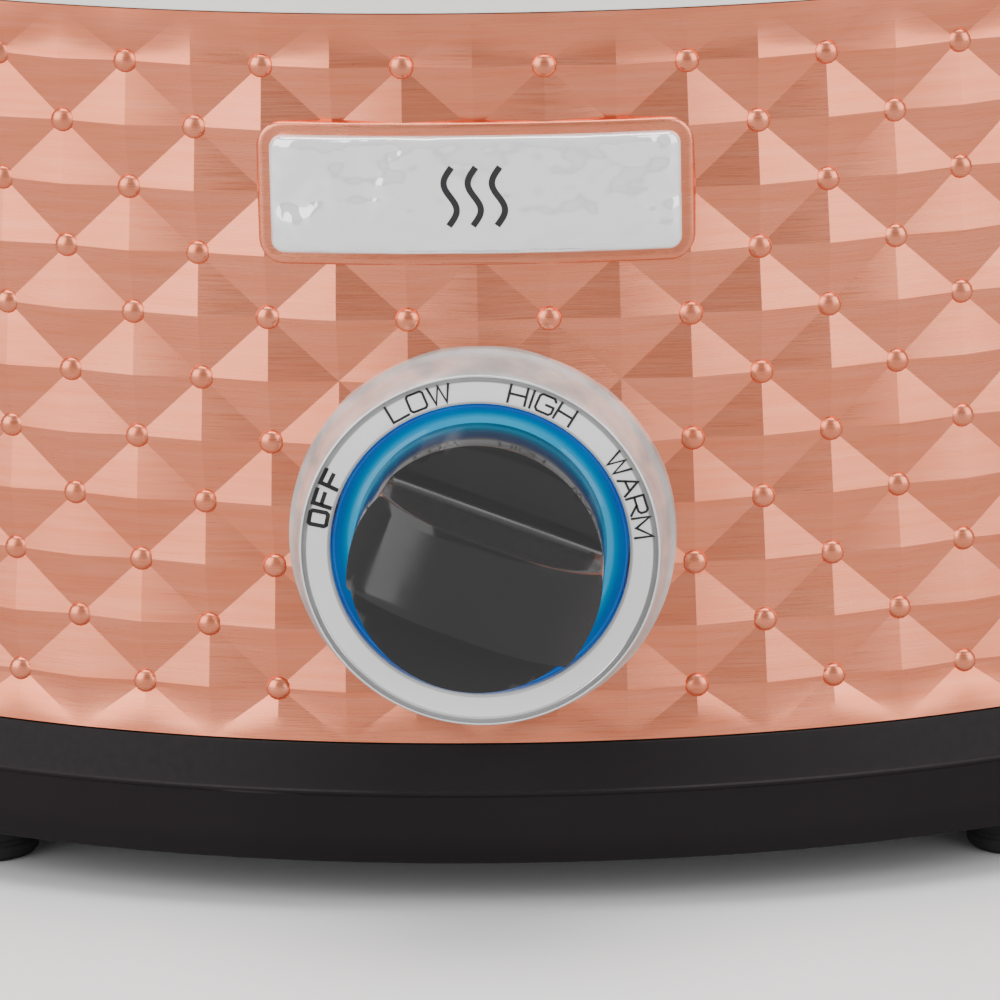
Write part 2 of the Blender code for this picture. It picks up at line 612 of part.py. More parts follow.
def make_lid():
    """The glass lid with its steel rim, vent and knob."""
    rings = [GLASS_RADIUS * math.sqrt(i / 5) for i in range(6)]
    under = [(radius - OVAL_B if radius else None, dome_height(radius)) for radius in rings]
    top = [(offset, height + GLASS_THICK) for offset, height in under]
    glass = oval("lid_glass", top + under[::-1], "glass", LID_FRAME)
    leg_radius = GLASS_RADIUS - 0.0042
    leg = leg_radius - OVAL_B
    leg_z = dome_height(leg_radius)
    wall = GLASS_RADIUS + GAP - OVAL_B
    sheet = 0.0007
    below = GLASS_EDGE_Z - GAP
    above = GLASS_EDGE_Z + GLASS_THICK + 0.0007
    oval("lid_rim", [
        (wall, above + sheet), (wall + sheet, above), (wall + sheet, below - sheet),
        (leg, below - sheet), (leg, below), (wall, below), (wall, above),
        (leg, leg_z + GLASS_THICK + 0.0006), (leg, leg_z + GLASS_THICK + 0.0006 + sheet)],
        "chrome", LID_FRAME)
    vent_radius = 0.0030
    tilt = math.atan(GLASS_RISE * 2.2 * (VENT_X / STRETCH / GLASS_RADIUS) ** 1.2
                     / (GLASS_RADIUS * STRETCH))
    vent_top = dome_height(VENT_X / STRETCH) + GLASS_THICK
    vent_spot = (VENT_X, 0, vent_top)
    turned("steam_vent", [
        (0.0018, 0.0014), (0.0040, 0.0014), (0.0050, 0.0009), (0.0050, 0.0006),
        (vent_radius, 0.0006), (vent_radius, -0.0052), (0.0018, -0.0052)], "chrome", LID_FRAME, 14,
        vent_spot, (0, tilt, 0))
    combine(glass, cylinder("vent_hole", vent_radius + GAP, 0.02, None, LID_FRAME, vent_spot,
                            (0, tilt, 0)))
    shank = 0.0022
    combine(glass, cylinder("lid_hole", shank + 0.0006, 0.02, None, LID_FRAME, (0, 0, LID_TOP)))
    washer_bottom = LID_TOP + GAP
    washer_top = washer_bottom + 0.0012
    turned("lid_knob_washer", [(0.0150, washer_top), (0.0150, washer_bottom),
                               (0.0030, washer_bottom), (0.0030, washer_top)],
           "silicone", LID_FRAME, 20)
    knob_bottom = washer_top + GAP
    knob = turned("lid_knob", [
        (0, knob_bottom + 0.0270), (0.0130, knob_bottom + 0.0262), (0.0200, knob_bottom + 0.0232),
        (0.0225, knob_bottom + 0.0195), (0.0215, knob_bottom + 0.0165), (0.0150, knob_bottom + 0.0130),
        (0.0125, knob_bottom + 0.0080), (0.0145, knob_bottom + 0.0030), (0.0160, knob_bottom),
        (0, knob_bottom)], "black_gloss", LID_FRAME, 24)
    bore = 0.0105
    combine(knob, cylinder("lid_knob_bore", shank + GAP, 2 * bore, None, LID_FRAME,
                           (0, 0, knob_bottom), segments=16))
    glass_under = LID_TOP - GLASS_THICK
    washer_under = glass_under - GAP - 0.0006
    turned("lid_screw_washer", [(0.0070, washer_under), (0.0070, washer_under - 0.0008),
                                (0.0028, washer_under - 0.0008), (0.0028, washer_under)],
           "steel", LID_FRAME, 20)
    screw_seat = washer_under - 0.0008 - GAP
    length = knob_bottom + bore - 0.0015 - screw_seat
    turned("lid_screw", screw_profile(0.0046, 0.0026, shank, length), "steel", LID_FRAME, 16,
           (0, 0, screw_seat), (math.pi, 0, 0))


def main():
    """Build the cooker."""
    wrap, skirt, cover, reflector = make_housing()
    make_heater()
    make_wiring()
    make_centre_bolt(cover, reflector)
    make_feet(skirt, cover)
    make_handles(wrap)
    make_knob()
    wrap_holes = make_dial()
    wrap_holes.append(cylinder("dial_hole", 0.0100, 0.020, None, DIAL, segments=24))
    make_switch()
    make_badge()
    wrap_holes.append(make_gland())
    for hole in wrap_holes:
        combine(wrap, hole)
    make_crock()
    make_lid()
    bpy.context.view_layer.update()


main()
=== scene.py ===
"""Looks of the oval slow cooker: an embossed copper wrap, chrome dial, stoneware crock and glass lid."""
import json
import math

import bmesh
import bpy
from mathutils import Matrix, Vector


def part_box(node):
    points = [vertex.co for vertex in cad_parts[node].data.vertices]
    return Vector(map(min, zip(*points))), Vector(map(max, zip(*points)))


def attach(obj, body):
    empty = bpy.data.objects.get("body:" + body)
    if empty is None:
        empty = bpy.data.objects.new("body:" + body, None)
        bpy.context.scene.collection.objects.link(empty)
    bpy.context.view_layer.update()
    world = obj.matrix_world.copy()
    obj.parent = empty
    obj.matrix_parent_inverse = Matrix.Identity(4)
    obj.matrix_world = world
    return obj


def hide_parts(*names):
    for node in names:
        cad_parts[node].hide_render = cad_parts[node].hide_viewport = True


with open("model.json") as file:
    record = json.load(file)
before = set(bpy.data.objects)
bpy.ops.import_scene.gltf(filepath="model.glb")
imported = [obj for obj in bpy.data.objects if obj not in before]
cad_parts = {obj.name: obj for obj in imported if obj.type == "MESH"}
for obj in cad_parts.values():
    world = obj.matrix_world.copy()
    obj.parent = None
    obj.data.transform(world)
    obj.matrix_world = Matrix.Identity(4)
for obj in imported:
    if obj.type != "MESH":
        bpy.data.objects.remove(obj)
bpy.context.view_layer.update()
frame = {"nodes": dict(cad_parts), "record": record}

# ---- Sizes, in metres, most of them taken from the frame ----
WRAP_LOW, WRAP_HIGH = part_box("outer_wrap")
OVAL_A = WRAP_HIGH.x
OVAL_B = (WRAP_HIGH.y - WRAP_LOW.y) / 2
CENTRE_Y = (WRAP_HIGH.y + WRAP_LOW.y) / 2
STRETCH = OVAL_A / OVAL_B
JOINTS = {joint["name"]: joint for joint in frame["record"]["behaviour"]["joints"]}
DIAL_CENTRE = Vector(JOINTS["knob_turn"]["pos_m"])
CENTRE = Matrix.Translation((0, CENTRE_Y, 0))
DIAL = Matrix.Translation(DIAL_CENTRE) @ Matrix.Rotation(math.pi / 2, 4, "X")
OVAL_STEPS = 240
# The way round the oval, added up in steps of one degree
ON_OVAL = [(OVAL_A * math.cos(math.radians(i)), OVAL_B * math.sin(math.radians(i)))
           for i in range(361)]
GIRTH = sum(math.dist(here, there) for here, there in zip(ON_OVAL, ON_OVAL[1:]))

# The embossed lattice: studs stand on every second crossing of half pitches and rows
COLUMNS = 37
ROWS = 11
ROW_STEP = 0.011243
FIRST_ROW_Z = WRAP_HIGH.z - 0.0095
RELIEF = 0.0015
WRAP_WALL = 0.0017
# The grooves fade in over this way from the wrap's top and bottom
PLAIN_EDGE = 0.0003
FADED_EDGE = 0.0080
# The sheet is flat out to the first of these radii from the dial's middle, the lattice is whole
# from the second on, and the studs begin at the third
DIAL_FLAT = 0.0290
DIAL_LATTICE = 0.0334
DIAL_STUDS = 0.0372
# How far the middle of a stud stands over the crossing of the grooves
STUD_LIFT = 0.0001
STUD_RADIUS = 0.0022
STUD_HEIGHT = 0.0012

# The badge, which stands a little lower and taller than its box, and its copper surround
BADGE_LOW, BADGE_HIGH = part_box("badge_plate")
BADGE_SIZE = (BADGE_HIGH.x - BADGE_LOW.x, BADGE_HIGH.z - BADGE_LOW.z + 0.0005)
BADGE_X = BADGE_LOW.x + BADGE_SIZE[0] / 2
BADGE_Z = (BADGE_LOW.z + BADGE_HIGH.z) / 2 - 0.0007
SURROUND_SIZE = [side + 0.0042 for side in BADGE_SIZE]
STUD_CLEAR = [side / 2 + 0.0014 for side in SURROUND_SIZE]

# The bezel's face is flat from its opening, then rises to its lip
BEZEL_FRONT = DIAL_CENTRE.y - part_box("dial_bezel")[0].y
FACE_OPENING = 0.0262
FACE_FLAT_END = 0.0301
FACE_LIP = 0.0310

# The knob: its grip bar is narrowest at its top, and its front falls away to both ends
KNOB_RADIUS = 0.0221
KNOB_FOOT = 0.0068
KNOB_FLOOR = 0.0235
KNOB_FRONT = DIAL_CENTRE.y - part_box("control_knob")[0].y
KNOB_FALL = 0.0100
GRIP_TOP = 0.0085
GRIP_FOOT = 0.0110
OFF_ANGLE = math.radians(159)

# The lid's glass
GLASS_LOW, GLASS_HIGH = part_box("lid_glass")
GLASS_RADIUS = (GLASS_HIGH.y - GLASS_LOW.y) / 2
GLASS_THICK = 0.004
GLASS_RISE = GLASS_HIGH.z - GLASS_LOW.z - GLASS_THICK
GLASS_BEND = 2.2


# ---- Building node trees ----
class Wire:
    """One output of a node. A sign between a wire and a number or wire adds a Math node."""

    def __init__(self, tree, socket):
        self.tree = tree
        self.socket = socket

    def __add__(self, other):
        return calc("ADD", self, other)

    def __sub__(self, other):
        return calc("SUBTRACT", self, other)

    def __rsub__(self, other):
        return calc("SUBTRACT", other, self)

    def __mul__(self, other):
        return calc("MULTIPLY", self, other)

    def __truediv__(self, other):
        return calc("DIVIDE", self, other)

    def __rtruediv__(self, other):
        return calc("DIVIDE", other, self)

    def __mod__(self, other):
        return calc("FLOORED_MODULO", self, other)

    def __lt__(self, other):
        return calc("LESS_THAN", self, other)

    def __abs__(self):
        return calc("ABSOLUTE", self)

    def __getitem__(self, name):
        """Another output of the same node."""
        return Wire(self.tree, self.socket.node.outputs[name])


def put(value, socket):
    """Link a wire to an input, or set the input's value."""
    if isinstance(value, Wire):
        value.tree.links.new(value.socket, socket)
    elif value is not None:
        socket.default_value = value


def add(tree, kind, inputs=(), out=0, **settings):
    """The wire out of a new node with settings, and with inputs given by place or by name."""
    node = tree.nodes.new(kind)
    for name, value in settings.items():
        setattr(node, name, value)
    pairs = inputs.items() if isinstance(inputs, dict) else enumerate(inputs)
    for key, value in pairs:
        put(value, node.inputs[key])
    return Wire(tree, node.outputs[out])


def calc(operation, *values):
    """The wire out of one Math node."""
    tree = next(value.tree for value in values if isinstance(value, Wire))
    return add(tree, "ShaderNodeMath", values, operation=operation)


def held(value, low=0.0, high=1.0):
    """A value kept between two others."""
    return calc("MINIMUM", calc("MAXIMUM", value, low), high)


def combine(*values):
    """A vector from three numbers."""
    tree = next(value.tree for value in values if isinstance(value, Wire))
    return add(tree, "ShaderNodeCombineXYZ", values)


def separate(vector):
    """The three numbers of a vector."""
    parts = add(vector.tree, "ShaderNodeSeparateXYZ", [vector])
    return [parts[axis] for axis in "XYZ"]


def vector_calc(operation, first, *others):
    """The wire out of one Vector Math node."""
    out = "Value" if operation == "LENGTH" else "Vector"
    return add(first.tree, "ShaderNodeVectorMath", [first, *others], out, operation=operation)


def noise(vector, scale, detail, roughness=0.5):
    """Smooth noise at places given by a vector."""
    return add(vector.tree, "ShaderNodeTexNoise", {
        "Vector": vector, "Scale": scale, "Detail": detail, "Roughness": roughness})


def moved(value, low, high, start=0.0, end=1.0, **settings):
    """A value moved from the range of start to end onto the range of low to high."""
    return add(value.tree, "ShaderNodeMapRange", {
        "Value": value, "From Min": start, "From Max": end, "To Min": low, "To Max": high}, **settings)


SOCKETS = {float: "NodeSocketFloat", int: "NodeSocketInt", tuple: "NodeSocketVector",
           type(None): "NodeSocketMaterial"}


def new_group(name, kind, inputs, outputs):
    """A node group with named inputs and their values. Gives its tree, input wires and end sockets."""
    tree = bpy.data.node_groups.new(name, kind)
    for label, value in inputs.items():
        socket = tree.interface.new_socket(label, in_out="INPUT", socket_type=SOCKETS[type(value)])
        if value is not None:
            socket.default_value = value
    carried = "NodeSocketFloat" if kind == "ShaderNodeTree" else "NodeSocketGeometry"
    for label in outputs:
        tree.interface.new_socket(label, in_out="OUTPUT", socket_type=carried)
    start = tree.nodes.new("NodeGroupInput")
    end = tree.nodes.new("NodeGroupOutput")
    return tree, {label: Wire(tree, start.outputs[label]) for label in inputs}, end.inputs


# ---- Shader groups that several finishes share ----
NOWHERE = (0.0, 0.0, 0.0)


def make_grain_group():
    """Fine lines that run along the first axis of the vector."""
    tree, given, result = new_group("Brushed Grain", "ShaderNodeTree", {
        "Vector": NOWHERE, "Along": 60.0, "Across": 3000.0}, ["Fine", "Broad"])
    scale = combine(given["Along"], given["Across"], given["Across"])
    stretched = vector_calc("MULTIPLY", given["Vector"], scale)
    wide = vector_calc("MULTIPLY", stretched, (0.35, 0.16, 0.16))
    put(noise(stretched, 1.0, 3.0, 0.65), result["Fine"])
    put(noise(wide, 1.0, 2.0), result["Broad"])
    return tree


def make_mottle_group():
    """Soft uneven patches, such as faint smears and handling marks."""
    tree, given, result = new_group("Mottle", "ShaderNodeTree", {
        "Vector": NOWHERE, "Size": 0.03, "Low": 0.0, "High": 1.0}, ["Value"])
    patches = noise(given["Vector"], 1.0 / given["Size"], 4.0, 0.55)
    put(moved(patches, given["Low"], given["High"], 0.3, 0.7), result["Value"])
    return tree


def make_peel_group():
    """The shallow orange peel and rare pinholes of a moulded or glazed surface, as a height."""
    tree, given, result = new_group("Surface Peel", "ShaderNodeTree", {
        "Vector": NOWHERE, "Size": 0.002, "Pinhole Size": 0.012}, ["Height", "Pinholes"])
    cells = add(tree, "ShaderNodeTexVoronoi", {
        "Vector": given["Vector"], "Scale": 1.0 / given["Pinhole Size"], "Randomness": 1.0})
    put(noise(given["Vector"], 1.0 / given["Size"], 2.0, 0.45), result["Height"])
    put(moved(cells, 1.0, 0.0, 0.02, 0.035), result["Pinholes"])
    return tree


def make_edge_group():
    """A mask of the convex edges of a piece, for rubbed wear and for a painted highlight along the
    edges.
    """
    tree, given, result = new_group("Edge Wear And Sheen", "ShaderNodeTree", {
        "Vector": NOWHERE, "Start": 0.52, "Full": 0.60}, ["Mask"])
    point = add(tree, "ShaderNodeNewGeometry", out="Pointiness")
    edge = moved(point, 0.0, 1.0, given["Start"], given["Full"])
    broken = edge * noise(given["Vector"], 420.0, 3.0)
    put(calc("MINIMUM", broken, 1.0), result["Mask"])
    return tree


def make_dust_group():
    """A mask of thin dust that lies on what faces up."""
    tree, given, result = new_group("Dust", "ShaderNodeTree", {
        "Vector": NOWHERE, "Amount": 0.15}, ["Mask"])
    up = separate(add(tree, "ShaderNodeNewGeometry", out="Normal"))[2]
    speckle = moved(up, 0.0, 1.0, 0.35, 0.95) * noise(given["Vector"], 900.0, 4.0, 0.7)
    put(speckle * given["Amount"], result["Mask"])
    return tree


GRAIN = make_grain_group()
MOTTLE = make_mottle_group()
PEEL = make_peel_group()
EDGE_WEAR_AND_SHEEN = make_edge_group()
DUST = make_dust_group()


# ---- Finishes ----
class Finish:
    """A material with a Principled shader and short calls for what feeds it."""

    def __init__(self, name, colour, roughness, metallic=0.0, **plain):
        self.material = bpy.data.materials.new(name)
        self.material.use_nodes = True
        self.tree = self.material.node_tree
        self.inputs = self.tree.nodes["Principled BSDF"].inputs
        self.inputs["Base Color"].default_value = (*colour, 1.0)
        self.inputs["Roughness"].default_value = roughness
        self.inputs["Metallic"].default_value = metallic
        for label, value in plain.items():
            self.inputs[label.replace("_", " ")].default_value = value
        self.place = add(self.tree, "ShaderNodeTexCoord", out="Object")

    def group(self, group, where=None, **values):
        """The first wire out of a shared effect with this finish's own values."""
        effect = add(self.tree, "ShaderNodeGroup", node_tree=group)
        values["Vector"] = where or self.place
        for label, value in values.items():
            put(value, effect.socket.node.inputs[label.replace("_", " ")])
        return effect

    def mottle(self, size, low=0.0, high=1.0, where=None):
        """Soft patches of a size, between two values."""
        return self.group(MOTTLE, where, Size=size, Low=low, High=high)

    def mix(self, factor, first, second):
        """A colour between two colours."""
        first, second = ((*colour, 1.0) if isinstance(colour, tuple) else colour
                         for colour in (first, second))
        return add(self.tree, "ShaderNodeMix", {"Factor": factor, "A": first, "B": second},
                   "Result", data_type="RGBA")

    def feed(self, label, value):
        """Link a wire to the shader."""
        put(value, self.inputs[label])

    def bump(self, height, distance, strength):
        """A bump from a height over a distance in metres."""
        self.feed("Normal", add(self.tree, "ShaderNodeBump", {
            "Strength": strength, "Distance": distance, "Height": height}))


def copper_finish(name, unrolled=False, smooth=0.22):
    """Copper-toned sheet with a fine level grain, which follows the unrolled sheet if it can."""
    finish = Finish(name, (0.80, 0.32, 0.19), 0.24, 1.0)
    where = add(finish.tree, "ShaderNodeUVMap", uv_map="unrolled") if unrolled else finish.place
    grain = finish.group(GRAIN, where, Along=90.0, Across=3600.0)
    patches = finish.mottle(0.045, where=where)
    tone = finish.mix(patches, (0.86, 0.265, 0.145), (0.79, 0.22, 0.112))
    tone = finish.mix(moved(grain["Broad"], 0.0, 0.35, 0.35, 0.75), tone, (0.92, 0.37, 0.24))
    dark = moved(grain["Fine"], 0.22, 0.0, 0.30, 0.55)
    finish.feed("Base Color", finish.mix(dark, tone, (0.60, 0.13, 0.055)))
    rough = moved(grain["Fine"], smooth, smooth + 0.10, 0.3, 0.7)
    finish.feed("Roughness", rough + patches * 0.06)
    finish.bump(grain["Fine"], 0.00002, 0.5)
    return finish.material


def chrome_finish():
    """Bright chrome plate with faint smears."""
    finish = Finish("chrome_plate", (0.93, 0.93, 0.94), 0.05, 1.0)
    finish.feed("Roughness", finish.mottle(0.018, 0.05, 0.12))
    finish.bump(finish.group(PEEL, Size=0.006), 0.00003, 0.35)
    return finish.material


def from_dial(finish):
    """How far a point stands from the dial's axis."""
    x, _, z = separate(finish.place)
    return vector_calc("LENGTH", combine(x - DIAL_CENTRE.x, z - DIAL_CENTRE.z, 0.0))


def bezel_finish():
    """Chrome with a nearly white face and a satin, mottled flank."""
    finish = Finish("bezel_chrome", (0.95, 0.95, 0.95), 0.12, 0.8)
    radius = from_dial(finish)
    flank = moved(radius, 0.0, 1.0, 0.0313, 0.0316)
    clouds = finish.mottle(0.009)
    satin = finish.mix(clouds, (0.70, 0.77, 0.77), (0.38, 0.44, 0.45))
    finish.feed("Base Color", finish.mix(flank, (0.95, 0.95, 0.95), satin))
    dish = moved(radius, 0.0, 0.5, 0.0300, 0.0303)
    finish.feed("Metallic", dish * moved(flank, 1.0, 0.0) + moved(flank, 0.20, 0.42))
    finish.feed("Roughness", moved(clouds, 0.05, 0.12) + moved(flank, 0.0, 0.24))
    finish.bump(finish.group(PEEL, Size=0.005), 0.00004, 0.35)
    return finish.material


def badge_finish():
    """Chrome on a thin plate whose face is a little wavy."""
    finish = Finish("badge_chrome", (0.98, 0.98, 0.98), 0.05, 0.42)
    finish.feed("Roughness", finish.mottle(0.02, 0.03, 0.09))
    finish.bump(finish.group(PEEL, Size=0.011), 0.0026, 0.8)
    return finish.material


def steel_finish(name, colour, roughness, along=40.0, across=1500.0):
    """Rolled or plated steel sheet and wire."""
    finish = Finish(name, colour, roughness, 1.0)
    grain = finish.group(GRAIN, Along=along, Across=across)["Fine"]
    darker = tuple(0.72 * part for part in colour)
    finish.feed("Base Color", finish.mix(finish.mottle(0.03, 0.0, 0.5), colour, darker))
    finish.feed("Roughness", moved(grain, roughness - 0.08, roughness + 0.12))
    finish.bump(grain, 0.00002, 0.4)
    return finish.material


def moulded_finish(name, colour, roughness, peel=0.0012, depth=0.00003, edge_wear_and_sheen=(0.12, 0.115, 0.11),
                   gloss=0.5):
    """Moulded plastic or phenolic with a fine texture, a colour along the convex edges for rubbed wear
    and, on the glossy black, a painted highlight, and a little dust.
    """
    finish = Finish(name, colour, roughness, Specular_IOR_Level=gloss)
    texture = finish.group(PEEL, Size=peel)
    patches = finish.mottle(0.05)
    tone = finish.mix(patches, colour, tuple(1.25 * part for part in colour))
    # Convex edges take their own colour: rubbed wear, and on the glossy black a painted highlight.
    tone = finish.mix(finish.group(EDGE_WEAR_AND_SHEEN, Start=0.53, Full=0.66), tone, edge_wear_and_sheen)
    dust = finish.group(DUST, Amount=0.10)
    finish.feed("Base Color", finish.mix(dust, tone, (0.20, 0.19, 0.18)))
    spread = moved(texture, roughness - 0.05, roughness + 0.07, 0.3, 0.7)
    finish.feed("Roughness", spread + patches * 0.05)
    finish.bump(texture, depth, 0.6)
    return finish.material


def stoneware_finish():
    """Ivory glaze, a little uneven, with rare pinholes."""
    finish = Finish("ivory_glaze", (0.80, 0.775, 0.71), 0.10, Coat_Roughness=0.04)
    patches = finish.mottle(0.05)
    glaze = finish.group(PEEL, Size=0.009, Pinhole_Size=0.016)
    tone = finish.mix(patches, (0.93, 0.92, 0.885), (0.90, 0.885, 0.835))
    finish.feed("Base Color", finish.mix(glaze["Pinholes"], tone, (0.42, 0.34, 0.25)))
    finish.feed("Coat Weight", moved(patches, 0.7, 1.0))
    finish.feed("Roughness", moved(patches, 0.10, 0.20))
    finish.bump(glaze["Height"] - glaze["Pinholes"], 0.00012, 0.35)
    return finish.material


def glass_finish():
    """Clear tempered glass, very slightly green, with faint wipe marks."""
    finish = Finish("lid_glass_clear", (0.93, 0.97, 0.96), 0.0, Transmission_Weight=1.0, IOR=1.5)
    finish.feed("Roughness", finish.mottle(0.04, 0.0, 0.06))
    return finish.material


def light_finish():
    """Translucent blue plastic, lit from behind."""
    finish = Finish("blue_light_ring", (0.01, 0.22, 0.62), 0.08, Coat_Weight=0.12,
                    Coat_Roughness=0.03, Emission_Strength=0.42, Specular_IOR_Level=0.3)
    glow = moved(from_dial(finish), 1.0, 0.0, 0.0230, 0.0250)
    patches = finish.mottle(0.012) * 0.5
    deep = finish.mix(patches, (0.0, 0.06, 0.30), (0.0, 0.11, 0.38))
    finish.feed("Base Color", finish.mix(glow, deep, (0.0, 0.26, 0.46)))
    bright = finish.mix(glow, (0.0, 0.08, 0.42), (0.0, 0.46, 0.70))
    finish.feed("Emission Color", finish.mix(patches, bright, (0.0, 0.26, 0.74)))
    return finish.material


def ink_finish():
    """Black printed marks."""
    finish = Finish("dial_ink", (0.012, 0.012, 0.014), 0.45)
    finish.feed("Roughness", finish.mottle(0.003, 0.38, 0.55))
    return finish.material


def brick_wire(finish, scale, gap):
    """The gaps between small bricks, for weaves and tracks."""
    return add(finish.tree, "ShaderNodeTexBrick", {
        "Vector": finish.place, "Scale": scale, "Mortar Size": gap}, "Fac")


def sleeve_finish():
    """Woven glass-fibre sleeve."""
    finish = Finish("woven_sleeve", (0.72, 0.69, 0.60), 0.8)
    tone = finish.mix(finish.mottle(0.01), (0.74, 0.71, 0.62), (0.62, 0.58, 0.49))
    finish.feed("Base Color", tone)
    finish.bump(brick_wire(finish, 900.0, 0.03), 0.0001, 0.5)
    return finish.material


def board_finish():
    """Green circuit board with tracks."""
    finish = Finish("board_mask", (0.03, 0.20, 0.08), 0.35)
    tracks = brick_wire(finish, 260.0, 0.05)
    finish.feed("Base Color", finish.mix(tracks, (0.03, 0.20, 0.08), (0.10, 0.33, 0.13)))
    finish.bump(tracks, 0.0001, 0.3)
    return finish.material


COPPER_SHEET = copper_finish("copper_sheet", True)
COPPER_STUD = copper_finish("copper_stud", smooth=0.20)
COPPER_BORDER = copper_finish("copper_border")
CHROME = chrome_finish()
BEZEL_CHROME = bezel_finish()
BADGE_CHROME = badge_finish()
STEEL = steel_finish("zinc_steel", (0.62, 0.62, 0.63), 0.32)
ALUMINISED = steel_finish("aluminised_sheet", (0.68, 0.69, 0.70), 0.42, 25.0, 700.0)
BASE_BLACK = moulded_finish("base_plastic", (0.0125, 0.0105, 0.0115), 0.38,
                            edge_wear_and_sheen=(0.06, 0.055, 0.055), gloss=0.09)
# The lighter edge colour of the glossy black is a painted highlight along its edges.
GLOSS_BLACK = moulded_finish("polished_phenolic", (0.017, 0.017, 0.0175), 0.10, 0.006, 0.00002,
                             (0.11, 0.11, 0.11), 0.34)
RUBBER = moulded_finish("foot_rubber", (0.012, 0.012, 0.012), 0.72, 0.0008, 0.00005)
PHENOLIC = moulded_finish("brown_phenolic", (0.16, 0.09, 0.05), 0.5, 0.001, 0.00004)
SILICONE = moulded_finish("grey_silicone", (0.45, 0.45, 0.45), 0.6, 0.001, 0.00004)
GLAZE = stoneware_finish()
GLASS = glass_finish()
BLUE_LIGHT = light_finish()
INK = ink_finish()
SLEEVE = sleeve_finish()
BOARD = board_finish()


# ---- Mesh tools ----
def finish_piece(obj, body, replaced=(), sharp=40.0):
    """Shade a piece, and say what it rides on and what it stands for."""
    obj.data.shade_smooth()
    obj.data.set_sharp_from_angle(angle=math.radians(sharp))
    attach(obj, body)
    if replaced:
        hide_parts(*replaced)
    return obj


def new_object(name, data):
    """An object of the scene with its data."""
    obj = bpy.data.objects.new(name, data)
    bpy.context.scene.collection.objects.link(obj)
    return obj


def mesh_object(name, bm, material):
    """An object from a bmesh, with its faces turned outwards."""
    bmesh.ops.remove_doubles(bm, verts=bm.verts, dist=0.000001)
    bmesh.ops.recalc_face_normals(bm, faces=bm.faces)
    mesh = bpy.data.meshes.new(name)
    bm.to_mesh(mesh)
    bm.free()
    mesh.materials.append(material)
    return new_object(name, mesh)


def loft(name, rows, material, close_ends=False, placed=None):
    """Quads between rows of points. Rows close on themselves, and the last row can meet the first."""
    bm = bmesh.new()
    grid = [[bm.verts.new(placed @ Vector(point) if placed else point) for point in row]
            for row in rows]
    following = grid[1:] + grid[:1] if close_ends else grid[1:]
    for row, after in zip(grid, following):
        for j in range(len(row)):
            k = (j + 1) % len(row)
            bm.faces.new((row[j], row[k], after[k], after[j]))
    return mesh_object(name, bm, material)


def middle_of(name):
    """The middle of a CAD piece's box."""
    low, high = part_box(name)
    return [(a + b) / 2 for a, b in zip(low, high)]


def arc_points(centre, radius, start, end, steps):
    """Points on an arc, with its angles in degrees."""
    angles = [math.radians(start + (end - start) * i / steps) for i in range(steps + 1)]
    return [(centre[0] + radius * math.cos(a), centre[1] + radius * math.sin(a)) for a in angles]


def rounded(corners, closed=False):
    """An outline through corners of (x, y, radius), with an arc at each corner that has a radius."""
    points = []
    count = len(corners)
    for i, (x, y, radius) in enumerate(corners):
        here = Vector((x, y))
        if not radius or (not closed and i in (0, count - 1)):
            points.append((x, y))
            continue
        before = Vector(corners[i - 1][:2]) - here
        after = Vector(corners[(i + 1) % count][:2]) - here
        half = before.angle(after) / 2
        reach = min(radius / math.tan(half), 0.48 * before.length, 0.48 * after.length)
        radius = reach * math.tan(half)
        middle = here + (before.normalized() + after.normalized()).normalized() * (
            radius / math.sin(half))
        first = here + before.normalized() * reach - middle
        last = here + after.normalized() * reach - middle
        turn = math.atan2(first.x * last.y - first.y * last.x, first.dot(last))
        steps = max(2, round(abs(turn) / math.radians(15)))
        for k in range(steps + 1):
            points.append(tuple(middle + Matrix.Rotation(turn * k / steps, 2) @ first))
    return points


def turned(name, corners, material, steps=96, closed=False, stretch=1.0, placed=CENTRE):
    """Turn a profile of (radius, height, rounding) about Z."""
    profile = rounded(corners, closed)
    rows = []
    for radius, height in profile:
        rows.append([(radius * stretch * math.cos(2 * math.pi * i / steps),
                      radius * math.sin(2 * math.pi * i / steps), height) for i in range(steps)])
    return loft(name, rows, material, close_ends=closed, placed=placed)


def off_wrap(corners):
    """Corners whose offsets from the wrap are turned into radii. No offset means the middle."""
    return [(0 if offset is None else OVAL_B + offset, height, rounding)
            for offset, height, rounding in corners]


def oval(name, corners, material, closed=False):
    """Turn a profile of (offset from the wrap, height, rounding) and stretch it to the oval."""
    return turned(name, off_wrap(corners), material, OVAL_STEPS, closed, STRETCH)


def on_front(x, z, rise):
    """A point over the wrap's front."""
    radius = OVAL_B + rise
    return (x, CENTRE_Y - radius * math.sqrt(max(0.0, 1 - (x / (radius * STRETCH)) ** 2)), z)


def plate_ring(half_x, half_z, corner, inset, side_steps, corner_steps=6):
    """The outline of a plate with rounded corners, drawn in by an inset."""
    hx, hz = half_x - inset, half_z - inset
    radius = max(min(corner - inset, hz, hx), 0.0)
    points = []
    for sx, sz, start in ((1, 1, 0), (-1, 1, 90), (-1, -1, 180), (1, -1, 270)):
        points += arc_points((sx * (hx - radius), sz * (hz - radius)), radius, start, start + 90,
                             corner_steps)
    ring = []
    for i, (x, z) in enumerate(points):
        ring.append((x, z))
        following = points[(i + 1) % len(points)]
        if i % (corner_steps + 1) == corner_steps:
            steps = side_steps if abs(following[0] - x) > abs(following[1] - z) else side_steps // 3
            for k in range(1, steps):
                ring.append((x + (following[0] - x) * k / steps, z + (following[1] - z) * k / steps))
    return ring


def front_plate(name, size, corner, profile, material, side_steps=36):
    """A plate at the badge's place with a profile of (inset, rise) from its edge to its middle."""
    rows = []
    for inset, rise in profile:
        ring = plate_ring(size[0] / 2, size[1] / 2, corner, inset, side_steps)
        rows.append([on_front(BADGE_X + x, BADGE_Z + z, rise) for x, z in ring])
    return loft(name, rows, material)


